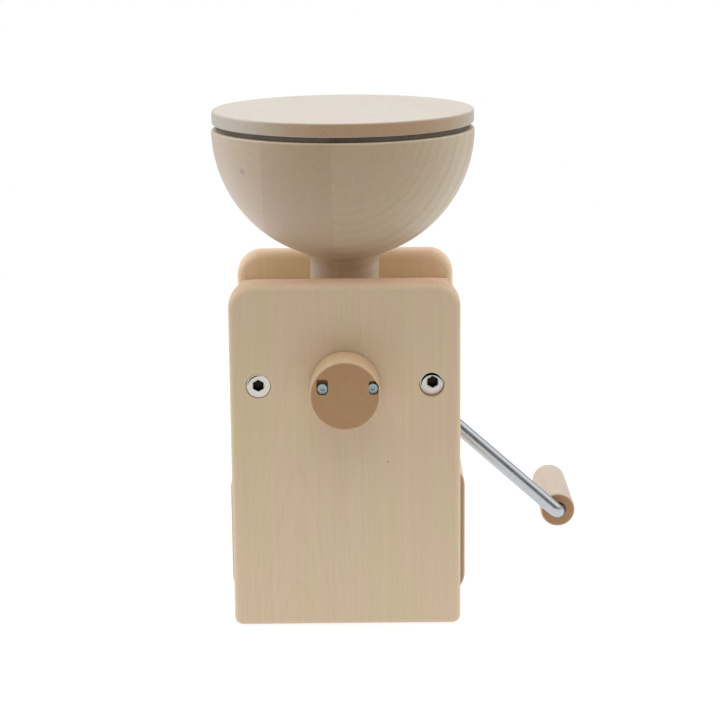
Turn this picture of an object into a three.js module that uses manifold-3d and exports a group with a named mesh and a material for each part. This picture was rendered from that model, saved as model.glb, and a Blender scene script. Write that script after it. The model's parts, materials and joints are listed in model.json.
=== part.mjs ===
// Hand grain mill with a round wooden hopper.
// Two upright beech boards hold a mill block between them. Grain falls from the hopper
// on to a feed screw, which pushes it forward between two upright stones, and the flour
// drops into a drawer that slides through the body from side to side. The crank is
// behind the mill. The knob in front sets how close the stones run.
// Units are millimetres and +Z is up. The front looks along -Y. The origin is on the
// standing surface, straight under the axis of the hopper.

import * as THREE from 'three';
import { mergeVertices } from 'three/addons/utils/BufferGeometryUtils.js';
import Module from 'manifold-3d';

const wasm = await Module();
wasm.setup();

// Clearances
const seatGap = 0.3; // between a piece and the seat or bore that holds it
const runningGap = 0.3; // between a turning piece and its bore
const cutOverrun = 3; // how far a cutter runs past the face it opens

// Stones, counted along the shaft from the back wall of their chamber
const stoneRadius = 36;
const chamberRing = 7.5;
const plateThickness = 2;
const fixedStoneThickness = 12;
const stoneGap = 0.7;
const runningStoneThickness = 8.5;
const carrierThickness = 3;
const chamberBackWall = 5;

// Way of the grain
const throatRadius = 12.5;
const tenonWall = 5;
const tenonLength = 16;
const sleeveWall = 2;
const sleevePastThroat = 7.5;
const augerGap = 0.9;
const augerCoreWall = 2.7;
const augerFlightThickness = 2.5;
const augerPitch = 20;
const eyeClearance = 1;

// Heights, counted up from the standing surface
const baseThickness = 12;
const drawerHeight = 96.5;
const drawerHeadroom = 3.2;
const chuteHeight = 12.5;
const crownThickness = 6.5;
const boardRise = 20;
const hopperRise = 94;

// Boards and block
const boardWidth = 154;
const boardThickness = 20;
const boardTopRadius = 17.5;
const boardBottomRadius = 5.5;
const boardEdgeRound = 4;
const blockInset = 4;
const baseInset = 5;
const chuteHalfWidth = 16;
const chuteLip = 2;

// Dowels in the ends of the base board
const dowelRadius = 3;
const dowelInBoard = 10;
const dowelInBase = 20;
const dowelSideInset = 20;
const dowelEndGap = 1;

// Rubber pads under the base board
const padRadius = 8;
const padThickness = 2.5;
const padSideInset = 13;
const padBoardInset = 14;

// Screws that hold the boards to the block
const bodyScrewWallShare = 0.42687; // of the way from the stone chamber to the side
const bodyScrewHeadRadius = 7.4;
const bodyScrewHeadLength = 8;
const bodyScrewShankRadius = 4;
const bodyScrewShankLength = 30;
const bodyScrewSocketWidth = 6.4;
const bodyScrewSocketDepth = 4;
const bodyScrewHeadChamfer = 0.8;
const bodyWasherThickness = 1.4;
const bodyWasherRim = 0.6;
const counterboreGap = 1;
const frontLeftScrewSink = 1.3;
const frontRightScrewSink = 4.5;
const backScrewSink = 1.3;
const insertWall = 2;
const insertLength = 24;

// Flour drawer
const drawerOverhang = 3;
const drawerShift = 1;
const drawerSideGap = 0.5;
const drawerCornerRadius = 17;
const drawerEndThickness = 20;
const drawerEdgeRound = 2;
const drawerSideThickness = 8;
const drawerSideDrop = 5;
const drawerBottomThickness = 4;
const drawerBottomLift = 5;
const drawerGrooveDepth = 4;

// Hopper
const hopperRadius = 89.5;
const hopperWall = 8;
const neckRadius = 23.7;
const neckFillet = 10;

// Lid
const lidRadius = 89;
const lidThickness = 9.5;
const lidEdgeRound = 1.6;
const lidSpigotGap = 2.5;
const lidSpigotDepth = 6.5;
const sealHeight = 3.5;
const sealInset = 3.5;

// Shaft line
const shaftRadius = 6;
const shaftFlatDepth = 0.9;
const innerBushLength = 10;
const springBoreRadius = 13;
const collarFrontRoom = 3;
const collarLength = 4;
const collarRadius = 11;
const rearBushRadius = 10;
const rearFlangeRadius = 12.5;
const rearFlangeThickness = 3;

// Return spring between the collar and the rear bush
const springRadius = 9.4;
const springWireRadius = 0.7;
const springFrontRoom = 0.9;
const springTurns = 3.5;

// Stone carrier
const carrierInset = 3;
const paddleCount = 4;
const paddleWidth = 6;
const paddleRimGap = 1.5;
const paddleStoneGap = 1.5;
const paddleReach = 17;
const plateScrewCount = 3;
const plateScrewHeadRadius = 2.8;
const plateScrewHeadLength = 2;
const plateScrewShankRadius = 1.75;
const plateScrewLength = 12;

// Grind setting
const settingOpenTravel = 2;
const settingCloseTravel = 0.6;
const spindleRadius = 8;
const bushWall = 4;
const bushFlangeWidth = 6;
const bushFlangeThickness = 2;
const bushFrontInset = 0.5;
const ballRadius = 4;
const ballSpacing = 2;
const spindlePlateThickness = 3;
const spindlePlateWall = 1.2;
const recessRoom = 1;

// Knob on the front
const knobRadius = 23.5;
const knobLength = 29;
const knobBoardGap = 1;
const knobFrontRound = 2.2;
const knobBackRound = 0.6;
const knobScrewHeadRadius = 3.6;
const knobScrewHeadLength = 3;
const knobScrewShankRadius = 2;
const knobScrewSink = 3;
const knobScrewHeight = 4.3;
const knobLeftScrewReach = 14.7;
const knobRightScrewReach = 18.3;

// Crank
const hubBoardGap = 3;
const hubRadius = 13;
const hubLength = 20;
const hubShaftDepth = 10;
const hubEdgeChamfer = 1;
const setScrewRadius = 2.5;
const setScrewSink = 0.5;
const rodRadius = 5.5;
const rodHubDepth = 9;
const rodStraightPastHub = 0.5;
const rodHubBend = 10.5;
const rodGripBend = 8.5;
const armLength = 214.7;
const armDropAngle = THREE.MathUtils.degToRad(41.85);

// Grip
const gripRadius = 13;
const gripLength = 82;
const gripBoreGap = 0.65;
const gripNearGap = 0.3;
const gripNearRound = 1.6;
const gripFarRound = 3.5;
const gripRecessDepth = 8;
const gripEndPlay = 0.5;
const gripWasherRadius = 9.5;
const gripWasherThickness = 1.5;
const gripScrewHeadRadius = 5;
const gripScrewHeadLength = 3.2;
const gripScrewShankRadius = 3;
const gripScrewShankLength = 14;
const gripScrewSocketWidth = 4;
const gripScrewSocketDepth = 2;

// Facets
const hopperSides = 36;
const largeSides = 32;
const boreSides = 20;
const smallSides = 12;
const rodSides = 14;
const springSides = 5;
const springStepsPerTurn = 10;
const augerStepsPerTurn = 12;
const cornerSteps = 5;
const smallCornerSteps = 3;
const edgeSteps = 2;
const bowlSteps = 10;
const innerBowlSteps = 7;
const filletSteps = 4;
const bendSteps = 5;
const mergeDistance = 1e-4;

// Places along the shaft line, from the front at -Y to the back at +Y
const chamberRadius = stoneRadius + chamberRing;
const stonePackDepth = plateThickness + fixedStoneThickness + stoneGap + runningStoneThickness;
const chamberDepth = stonePackDepth + carrierThickness;
const tenonRadius = throatRadius + tenonWall;
const socketRadius = tenonRadius + seatGap;
const halfDepth = chamberDepth + chamberBackWall + socketRadius;
const frontFace = -halfDepth - boardThickness;
const backFace = halfDepth + boardThickness;
const chamberBack = chamberDepth - halfDepth;
const plateFront = chamberBack - plateThickness;
const fixedStoneFront = plateFront - fixedStoneThickness;
const runningStoneBack = fixedStoneFront - stoneGap;
const carrierBack = runningStoneBack - runningStoneThickness;
const recessDepth = bushFlangeThickness + settingOpenTravel + recessRoom;
const recessFace = -halfDepth - recessDepth;
const sleeveEnd = throatRadius + sleevePastThroat;
const innerBushEnd = sleeveEnd + innerBushLength;
const collarFront = innerBushEnd + collarFrontRoom;
const collarBack = collarFront + collarLength;
const rearFlangeFront = halfDepth - rearFlangeThickness;

// Heights
const blockBottom = baseThickness + seatGap + drawerHeight + drawerHeadroom;
const shaftHeight = blockBottom + chuteHeight + chamberRadius;
const blockTop = shaftHeight + chamberRadius + crownThickness;
const boardHeight = blockTop + boardRise;
const rimHeight = boardHeight + hopperRise;

// Radii along the shaft line
const shaftBoreRadius = shaftRadius + runningGap;
const augerCoreRadius = shaftBoreRadius + augerCoreWall;
const sleeveInnerRadius = throatRadius + sleeveWall;
const sleeveOuterRadius = sleeveInnerRadius + sleeveWall;
const augerRadius = sleeveInnerRadius - augerGap;
const eyeRadius = sleeveInnerRadius + eyeClearance;
const shaftFlat = shaftRadius - shaftFlatDepth;

// Colours
const beech = wood(0xc9b08c);
const beechEnd = wood(0xb08a62);
const zinc = metal(0xa9b2ba, 0.38);
const steel = metal(0xc4c9ce, 0.3);
const brass = metal(0xb9964f, 0.35);
const rubber = new THREE.MeshStandardMaterial({ color: 0x2c2b2a, roughness: 0.85, flatShading: true });
const sealRubber = new THREE.MeshStandardMaterial({ color: 0x4b4540, roughness: 0.8, flatShading: true });
const stone = new THREE.MeshStandardMaterial({ color: 0xcdc8be, roughness: 0.95, flatShading: true });

function wood(color) {
  return new THREE.MeshStandardMaterial({ color, roughness: 0.6, metalness: 0, flatShading: true });
}

function metal(color, roughness) {
  return new THREE.MeshStandardMaterial({ color, roughness, metalness: 1, flatShading: true });
}

// A closed copy of a shape: corners merged, empty triangles dropped, faces turned outward
function closed(geometry) {
  geometry.deleteAttribute('normal');
  geometry.deleteAttribute('uv');
  const merged = mergeVertices(geometry, mergeDistance);
  const corners = merged.index.array;
  const place = merged.attributes.position;
  const kept = [];
  const a = new THREE.Vector3();
  const b = new THREE.Vector3();
  const c = new THREE.Vector3();
  let volume = 0;
  for (let i = 0; i < corners.length; i += 3) {
    const [p, q, r] = [corners[i], corners[i + 1], corners[i + 2]];
    if (p !== q && q !== r && r !== p) {
      kept.push(p, q, r);
      a.fromBufferAttribute(place, p);
      b.fromBufferAttribute(place, q);
      c.fromBufferAttribute(place, r);
      volume += a.dot(b.cross(c));
    }
  }
  if (volume < 0) {
    kept.reverse();
  }
  merged.setIndex(kept);
  return merged;
}

function toSolid(geometry) {
  const shape = closed(geometry);
  const vertProperties = new Float32Array(shape.attributes.position.array);
  const triVerts = new Uint32Array(shape.index.array);
  return new wasm.Manifold(new wasm.Mesh({ numProp: 3, vertProperties, triVerts }));
}

function toGeometry(solid) {
  const { vertProperties, triVerts } = solid.getMesh();
  const geometry = new THREE.BufferGeometry();
  geometry.setAttribute('position', new THREE.BufferAttribute(vertProperties, 3));
  geometry.setIndex(new THREE.BufferAttribute(triVerts, 1));
  return geometry;
}

function cut(geometry, cutters) {
  let solid = toSolid(geometry);
  for (const cutter of cutters) {
    solid = solid.subtract(toSolid(cutter));
  }
  return toGeometry(solid);
}

function join(geometry, others) {
  let solid = toSolid(geometry);
  for (const other of others) {
    solid = solid.add(toSolid(other));
  }
  return toGeometry(solid);
}

// A round bar along Y from one place to another, with its axis at x and z
function barAlongY(radius, from, to, x = 0, z = 0, sides = boreSides) {
  const bar = new THREE.CylinderGeometry(radius, radius, to - from, sides);
  return bar.translate(x, (from + to) / 2, z);
}

function barAlongZ(radius, from, to, x = 0, y = 0, sides = boreSides) {
  const bar = new THREE.CylinderGeometry(radius, radius, to - from, sides);
  return bar.rotateX(Math.PI / 2).translate(x, y, (from + to) / 2);
}

function box([left, right], [front, back], [bottom, top]) {
  const shape = new THREE.BoxGeometry(right - left, back - front, top - bottom);
  return shape.translate((left + right) / 2, (front + back) / 2, (bottom + top) / 2);
}

// A turned piece with its axis along Y: pairs of radius and place along the axis
function turned(pairs, sides = boreSides) {
  const profile = pairs.map(([radius, along]) => new THREE.Vector2(radius, along));
  return new THREE.LatheGeometry(profile, sides);
}

function ring(innerRadius, outerRadius, from, to, sides = boreSides) {
  const start = [innerRadius, from];
  return turned([start, [outerRadius, from], [outerRadius, to], [innerRadius, to], start], sides);
}

// Points on an arc from one angle to another, both ends included
function arc(centreX, centreY, radius, fromAngle, toAngle, steps) {
  const points = [];
  for (let i = 0; i <= steps; i += 1) {
    const angle = THREE.MathUtils.lerp(fromAngle, toAngle, i / steps);
    points.push([centreX + radius * Math.cos(angle), centreY + radius * Math.sin(angle)]);
  }
  return points;
}

// An outline in X and Z made into a slab along Y, with its edges rounded
function slab(outline, front, back, edge) {
  const shape = new THREE.Shape(outline.map(([x, z]) => new THREE.Vector2(x, z)));
  const settings = {
    depth: back - front - 2 * edge,
    bevelEnabled: edge > 0,
    bevelThickness: edge,
    bevelSize: edge,
    bevelOffset: -edge,
    bevelSegments: edgeSteps,
    steps: 1,
  };
  return new THREE.ExtrudeGeometry(shape, settings).rotateX(Math.PI / 2).translate(0, back - edge, 0);
}

// A machine screw with its head towards -Y; the head's front face is at y = 0
function capScrew(headRadius, headLength, chamfer, shankRadius, shankLength, socketWidth, socketDepth) {
  const end = headLength + shankLength;
  const profile = [
    [0, 0],
    [headRadius - chamfer, 0],
    [headRadius, chamfer],
    [headRadius, headLength],
    [shankRadius, headLength],
    [shankRadius, end],
    [0, end],
  ];
  const socketRadius = socketWidth / Math.sqrt(3);
  const socket = barAlongY(socketRadius, -cutOverrun, socketDepth, 0, 0, 6);
  return cut(turned(profile, smallSides), [socket]);
}

// A route whose steps fall on the listed points
class Route extends THREE.Curve {
  constructor(points) {
    super();
    this.points = points;
  }

  getPoint(t) {
    const place = t * (this.points.length - 1);
    const index = Math.min(Math.floor(place), this.points.length - 2);
    return this.points[index].clone().lerp(this.points[index + 1], place - index);
  }

  getUtoTmapping(u) {
    return u;
  }
}

function tube(points, radius, sides) {
  const section = arc(0, 0, radius, 0, 2 * Math.PI, sides).slice(0, sides);
  const shape = new THREE.Shape(section.map(([x, y]) => new THREE.Vector2(x, y)));
  const settings = { extrudePath: new Route(points), steps: points.length - 1, bevelEnabled: false };
  return new THREE.ExtrudeGeometry(shape, settings);
}

const mill = new THREE.Group();
const shaftLine = new THREE.Group();
shaftLine.position.z = shaftHeight;
const crankArm = new THREE.Group();
crankArm.rotation.y = armDropAngle;
shaftLine.add(crankArm);
const hopperLine = new THREE.Group();
hopperLine.position.z = rimHeight;
hopperLine.rotation.x = Math.PI / 2;
mill.add(shaftLine, hopperLine);

function addPiece(group, name, geometry, material, x = 0, y = 0, z = 0) {
  const piece = new THREE.Mesh(closed(geometry), material);
  piece.name = name;
  piece.position.set(x, y, z);
  group.add(piece);
  return piece;
}

// The four places of a piece that repeats at the corners of the body
const corners = [
  { name: 'front_left', side: -1, end: -1, sink: frontLeftScrewSink },
  { name: 'front_right', side: 1, end: -1, sink: frontRightScrewSink },
  { name: 'back_left', side: -1, end: 1, sink: backScrewSink },
  { name: 'back_right', side: 1, end: 1, sink: backScrewSink },
];

const bodyScrewX = THREE.MathUtils.lerp(chamberRadius, boardWidth / 2, bodyScrewWallShare);
const counterboreRadius = bodyScrewHeadRadius + counterboreGap;
const bodyShankBore = bodyScrewShankRadius + seatGap;
const insertOuterRadius = bodyShankBore + insertWall;
const dowelX = boardWidth / 2 - dowelSideInset;
const padX = boardWidth / 2 - baseInset - padSideInset;
const padY = halfDepth - padBoardInset;
const counterboreDepth = (sink) => sink + bodyScrewHeadLength + bodyWasherThickness;

function boardOutline() {
  const half = boardWidth / 2;
  const topX = half - boardTopRadius;
  const topZ = boardHeight - boardTopRadius;
  const bottomX = half - boardBottomRadius;
  const [right, up, left, down] = [0, Math.PI / 2, Math.PI, 1.5 * Math.PI];
  return [
    ...arc(topX, topZ, boardTopRadius, right, up, cornerSteps),
    ...arc(-topX, topZ, boardTopRadius, up, left, cornerSteps),
    ...arc(-bottomX, boardBottomRadius, boardBottomRadius, left, down, smallCornerSteps),
    ...arc(bottomX, boardBottomRadius, boardBottomRadius, down, 2 * Math.PI, smallCornerSteps),
  ];
}

// A board with the bores for its two screws and two dowels; end is -1 in front, 1 behind
function drilledBoard(end, moreCuts) {
  const inner = end * halfDepth;
  const outer = end * (halfDepth + boardThickness);
  const [front, back] = [Math.min(inner, outer), Math.max(inner, outer)];
  const cutters = [...moreCuts];
  for (const corner of corners.filter((one) => one.end === end)) {
    const floor = outer - end * counterboreDepth(corner.sink);
    const x = corner.side * bodyScrewX;
    const mouth = outer + end * cutOverrun;
    const [seatLow, seatHigh] = [Math.min(floor, mouth), Math.max(floor, mouth)];
    cutters.push(barAlongY(counterboreRadius, seatLow, seatHigh, x, shaftHeight));
    cutters.push(barAlongY(bodyShankBore, front - cutOverrun, back + cutOverrun, x, shaftHeight, smallSides));
    const dowelEnd = inner + end * (dowelInBoard + dowelEndGap);
    const dowelMouth = inner - end * cutOverrun;
    const [low, high] = [Math.min(dowelEnd, dowelMouth), Math.max(dowelEnd, dowelMouth)];
    const dowelBore = dowelRadius + seatGap;
    cutters.push(barAlongY(dowelBore, low, high, corner.side * dowelX, baseThickness / 2, smallSides));
  }
  return cut(slab(boardOutline(), front, back, boardEdgeRound), cutters);
}

const bushOuterRadius = spindleRadius + runningGap + bushWall;
const recessRadius = chamberRadius;

function addBoards() {
  const frontCuts = [
    barAlongY(recessRadius, recessFace, cutOverrun - halfDepth, 0, shaftHeight, largeSides),
    barAlongY(bushOuterRadius + seatGap, frontFace - cutOverrun, cutOverrun - halfDepth, 0, shaftHeight),
  ];
  const backCuts = [
    barAlongY(rearBushRadius + seatGap, halfDepth - cutOverrun, backFace + cutOverrun, 0, shaftHeight),
  ];
  addPiece(mill, 'front_board', drilledBoard(-1, frontCuts), beech);
  addPiece(mill, 'back_board', drilledBoard(1, backCuts), beech);
}

function addBase() {
  const half = boardWidth / 2 - baseInset;
  const cutters = [];
  for (const { side, end } of corners) {
    const dowelEnd = end * (halfDepth - dowelInBase - dowelEndGap);
    const mouth = end * (halfDepth + cutOverrun);
    const [low, high] = [Math.min(dowelEnd, mouth), Math.max(dowelEnd, mouth)];
    const dowelBore = dowelRadius + seatGap;
    cutters.push(barAlongY(dowelBore, low, high, side * dowelX, baseThickness / 2, smallSides));
    const padRoof = padThickness + seatGap;
    cutters.push(barAlongZ(padRadius + seatGap, -cutOverrun, padRoof, side * padX, end * padY));
  }
  const board = box([-half, half], [-halfDepth, halfDepth], [0, baseThickness]);
  addPiece(mill, 'base_board', cut(board, cutters), beech);
  for (const { name, side, end } of corners) {
    const dowelMiddle = end * (halfDepth + (dowelInBoard - dowelInBase) / 2);
    const halfLength = (dowelInBoard + dowelInBase) / 2;
    const dowel = barAlongY(dowelRadius, -halfLength, halfLength, 0, 0, smallSides);
    addPiece(mill, `base_dowel_${name}`, dowel, beechEnd, side * dowelX, dowelMiddle, baseThickness / 2);
    const pad = barAlongZ(padRadius, 0, padThickness);
    addPiece(mill, `rubber_pad_${name}`, pad, rubber, side * padX, end * padY, 0);
  }
}

// Screws, washers and threaded inserts that hold the boards to the block
function addBodyScrews() {
  for (const { name, side, end, sink } of corners) {
    const holder = new THREE.Group();
    holder.position.set(side * bodyScrewX, end * (halfDepth + boardThickness - sink), 0);
    holder.rotation.z = end > 0 ? Math.PI : 0;
    shaftLine.add(holder);
    const screw = capScrew(
      bodyScrewHeadRadius,
      bodyScrewHeadLength,
      bodyScrewHeadChamfer,
      bodyScrewShankRadius,
      bodyScrewShankLength,
      bodyScrewSocketWidth,
      bodyScrewSocketDepth,
    );
    addPiece(holder, `body_screw_${name}`, screw, zinc);
    const washerBack = bodyScrewHeadLength + bodyWasherThickness;
    const washerRadius = bodyScrewHeadRadius + bodyWasherRim;
    const washer = ring(bodyShankBore, washerRadius, bodyScrewHeadLength, washerBack, smallSides);
    addPiece(holder, `body_washer_${name}`, washer, zinc);
    const blockFace = boardThickness - sink;
    const insert = ring(bodyShankBore, insertOuterRadius, blockFace, blockFace + insertLength, smallSides);
    addPiece(holder, `threaded_insert_${name}`, insert, brass);
  }
}

const chuteFront = drawerSideGap + drawerSideThickness + chuteLip - halfDepth;
const chuteBack = plateFront;
const plateScrewCircle = (stoneRadius + chamberRadius) / 2;
const plateScrewAngles = Array.from({ length: plateScrewCount }, (_, i) => (
  (i * 2 * Math.PI) / plateScrewCount - Math.PI / 2
));

// Heights in these pieces are counted from the shaft
function addMillBlock() {
  const half = boardWidth / 2 - blockInset;
  const bottom = blockBottom - shaftHeight;
  const top = blockTop - shaftHeight;
  const body = box([-half, half], [-halfDepth, halfDepth], [bottom, top]);
  const chute = box(
    [-chuteHalfWidth, chuteHalfWidth],
    [chuteFront, chuteBack],
    [bottom - cutOverrun, -stoneRadius],
  );
  const cutters = [
    barAlongY(chamberRadius, -halfDepth - cutOverrun, chamberBack, 0, 0, largeSides),
    barAlongY(sleeveOuterRadius + seatGap, chamberBack - cutOverrun, innerBushEnd),
    barAlongY(springBoreRadius, innerBushEnd - cutOverrun, halfDepth + cutOverrun),
    barAlongZ(throatRadius, 0, top),
    barAlongZ(socketRadius, top - tenonLength - seatGap, top + cutOverrun),
    chute,
  ];
  for (const { side, end } of corners) {
    const floor = end * (halfDepth - insertLength - seatGap);
    const mouth = end * (halfDepth + cutOverrun);
    const bore = insertOuterRadius + seatGap;
    const [low, high] = [Math.min(floor, mouth), Math.max(floor, mouth)];
    cutters.push(barAlongY(bore, low, high, side * bodyScrewX, 0, smallSides));
  }
  for (const angle of plateScrewAngles) {
    const x = plateScrewCircle * Math.cos(angle);
    const z = plateScrewCircle * Math.sin(angle);
    const bore = plateScrewShankRadius + seatGap;
    cutters.push(barAlongY(bore, chamberBack - cutOverrun, chamberBack + plateScrewLength, x, z, smallSides));
  }
  addPiece(shaftLine, 'mill_block', cut(body, cutters), beech);
}

// The stone that stands still, its plate and the lined way of the feed screw
function addFixedPack() {
  const screwBores = plateScrewAngles.map((angle) => {
    const x = plateScrewCircle * Math.cos(angle);
    const z = plateScrewCircle * Math.sin(angle);
    const bore = plateScrewShankRadius + seatGap;
    return barAlongY(bore, plateFront - cutOverrun, chamberBack + cutOverrun, x, z, smallSides);
  });
  const plate = ring(eyeRadius, chamberRadius - seatGap, plateFront, chamberBack, largeSides);
  addPiece(shaftLine, 'fixed_stone_plate', cut(plate, screwBores), steel);
  const fixedStone = ring(eyeRadius, stoneRadius, fixedStoneFront, plateFront, largeSides);
  addPiece(shaftLine, 'fixed_stone', fixedStone, stone);
  plateScrewAngles.forEach((angle, index) => {
    const screw = turned([
      [0, -plateScrewHeadLength],
      [plateScrewHeadRadius, -plateScrewHeadLength],
      [plateScrewHeadRadius, 0],
      [plateScrewShankRadius, 0],
      [plateScrewShankRadius, plateScrewLength],
      [0, plateScrewLength],
    ], smallSides);
    const x = plateScrewCircle * Math.cos(angle);
    const z = plateScrewCircle * Math.sin(angle);
    addPiece(shaftLine, `plate_screw_${index + 1}`, screw, zinc, x, plateFront, z);
  });
  const sleeve = ring(sleeveInnerRadius, sleeveOuterRadius, chamberBack, sleeveEnd);
  const window = barAlongZ(throatRadius, 0, sleeveOuterRadius + cutOverrun);
  addPiece(shaftLine, 'feed_sleeve', cut(sleeve, [window]), steel);
  const innerBush = ring(shaftBoreRadius, sleeveOuterRadius, sleeveEnd, innerBushEnd);
  addPiece(shaftLine, 'inner_bush', innerBush, brass);
  const flangeStart = [shaftBoreRadius, rearFlangeFront];
  const rearBush = turned([
    flangeStart,
    [rearFlangeRadius, rearFlangeFront],
    [rearFlangeRadius, halfDepth],
    [rearBushRadius, halfDepth],
    [rearBushRadius, backFace],
    [shaftBoreRadius, backFace],
    flangeStart,
  ]);
  addPiece(shaftLine, 'rear_bush', rearBush, brass);
}

// A compression spring: a wire carried round the shaft as it climbs along it
function addReturnSpring() {
  const first = collarBack + springFrontRoom + springWireRadius;
  const last = rearFlangeFront - seatGap - springWireRadius;
  const steps = Math.round(springTurns * springStepsPerTurn);
  const points = [];
  for (let i = 0; i <= steps; i += 1) {
    const angle = (i / springStepsPerTurn) * 2 * Math.PI;
    const along = THREE.MathUtils.lerp(first, last, i / steps);
    points.push(new THREE.Vector3(springRadius * Math.cos(angle), along, springRadius * Math.sin(angle)));
  }
  addPiece(shaftLine, 'return_spring', tube(points, springWireRadius, springSides), steel);
}

const ballCentre = recessFace - ballSpacing / 2;
const shaftFront = ballCentre + ballSpacing / 2;
const spindleTip = ballCentre - ballSpacing / 2;
const ballPocketRadius = ballRadius + runningGap;

// The shaft with the feed screw, the running stone and its carrier
function addRotor() {
  const shaftBack = backFace + hubBoardGap + hubShaftDepth;
  const ballPocket = barAlongY(ballPocketRadius, shaftFront - cutOverrun, ballCentre + ballPocketRadius);
  const flatCut = box(
    [-shaftRadius - cutOverrun, shaftRadius + cutOverrun],
    [shaftFront - cutOverrun, carrierBack],
    [shaftFlat, shaftRadius + cutOverrun],
  );
  const shaft = barAlongY(shaftRadius, shaftFront, shaftBack);
  addPiece(shaftLine, 'main_shaft', cut(shaft, [ballPocket, flatCut]), steel);
  const collar = ring(shaftBoreRadius, collarRadius, collarFront, collarBack);
  addPiece(shaftLine, 'shaft_collar', collar, steel);
  const runningStone = ring(shaftBoreRadius, stoneRadius, carrierBack, runningStoneBack, largeSides);
  addPiece(shaftLine, 'running_stone', runningStone, stone);
  addPiece(shaftLine, 'stone_carrier', carrier(), steel);
  addPiece(shaftLine, 'feed_auger', auger(), steel);
}

function carrier() {
  const front = carrierBack - carrierThickness;
  const discRadius = stoneRadius - carrierInset;
  const reach = chamberRadius - paddleRimGap;
  const bladeRoot = stoneRadius + paddleStoneGap;
  const paddles = [];
  for (let i = 0; i < paddleCount; i += 1) {
    const turn = (i / paddleCount) * 2 * Math.PI;
    const side = [-paddleWidth / 2, paddleWidth / 2];
    paddles.push(box([discRadius / 2, reach], [front, carrierBack], side).rotateY(turn));
    paddles.push(box([bladeRoot, reach], [front, front + paddleReach], side).rotateY(turn));
  }
  const disc = barAlongY(discRadius, front, carrierBack, 0, 0, largeSides);
  const flatTop = shaftFlat + seatGap;
  const boreReach = shaftBoreRadius + cutOverrun;
  const aboveFlat = box(
    [-boreReach, boreReach],
    [front - 2 * cutOverrun, carrierBack + 2 * cutOverrun],
    [flatTop, boreReach],
  );
  const bore = cut(barAlongY(shaftBoreRadius, front - cutOverrun, carrierBack + cutOverrun), [aboveFlat]);
  return cut(join(disc, paddles), [bore]);
}

// A feed screw: a core with one flight whose section climbs by a pitch in each turn
function auger() {
  const front = runningStoneBack + seatGap;
  const back = sleeveEnd - settingCloseTravel - seatGap;
  const halfFlight = augerFlightThickness / 2;
  const turns = (back - front - augerFlightThickness) / augerPitch;
  const steps = Math.round(turns * augerStepsPerTurn);
  const root = (shaftBoreRadius + augerCoreRadius) / 2;
  const section = [
    [root, -halfFlight],
    [augerRadius, -halfFlight],
    [augerRadius, halfFlight],
    [root, halfFlight],
  ];
  const place = [];
  for (let i = 0; i <= steps; i += 1) {
    const share = i / steps;
    const angle = share * turns * 2 * Math.PI;
    const middle = THREE.MathUtils.lerp(front + halfFlight, back - halfFlight, share);
    for (const [radius, along] of section) {
      place.push(radius * Math.cos(angle), middle + along, radius * Math.sin(angle));
    }
  }
  const faces = [];
  const count = section.length;
  for (let i = 0; i < steps; i += 1) {
    for (let j = 0; j < count; j += 1) {
      const [a, b] = [i * count + j, i * count + ((j + 1) % count)];
      faces.push(a, b, b + count, a, b + count, a + count);
    }
  }
  const last = steps * count;
  faces.push(0, 2, 1, 0, 3, 2);
  faces.push(last, last + 1, last + 2, last, last + 2, last + 3);
  const flight = new THREE.BufferGeometry();
  flight.setAttribute('position', new THREE.Float32BufferAttribute(place, 3));
  flight.setIndex(faces);
  const core = ring(shaftBoreRadius, augerCoreRadius, front, back);
  return join(core, [flight]);
}

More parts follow.
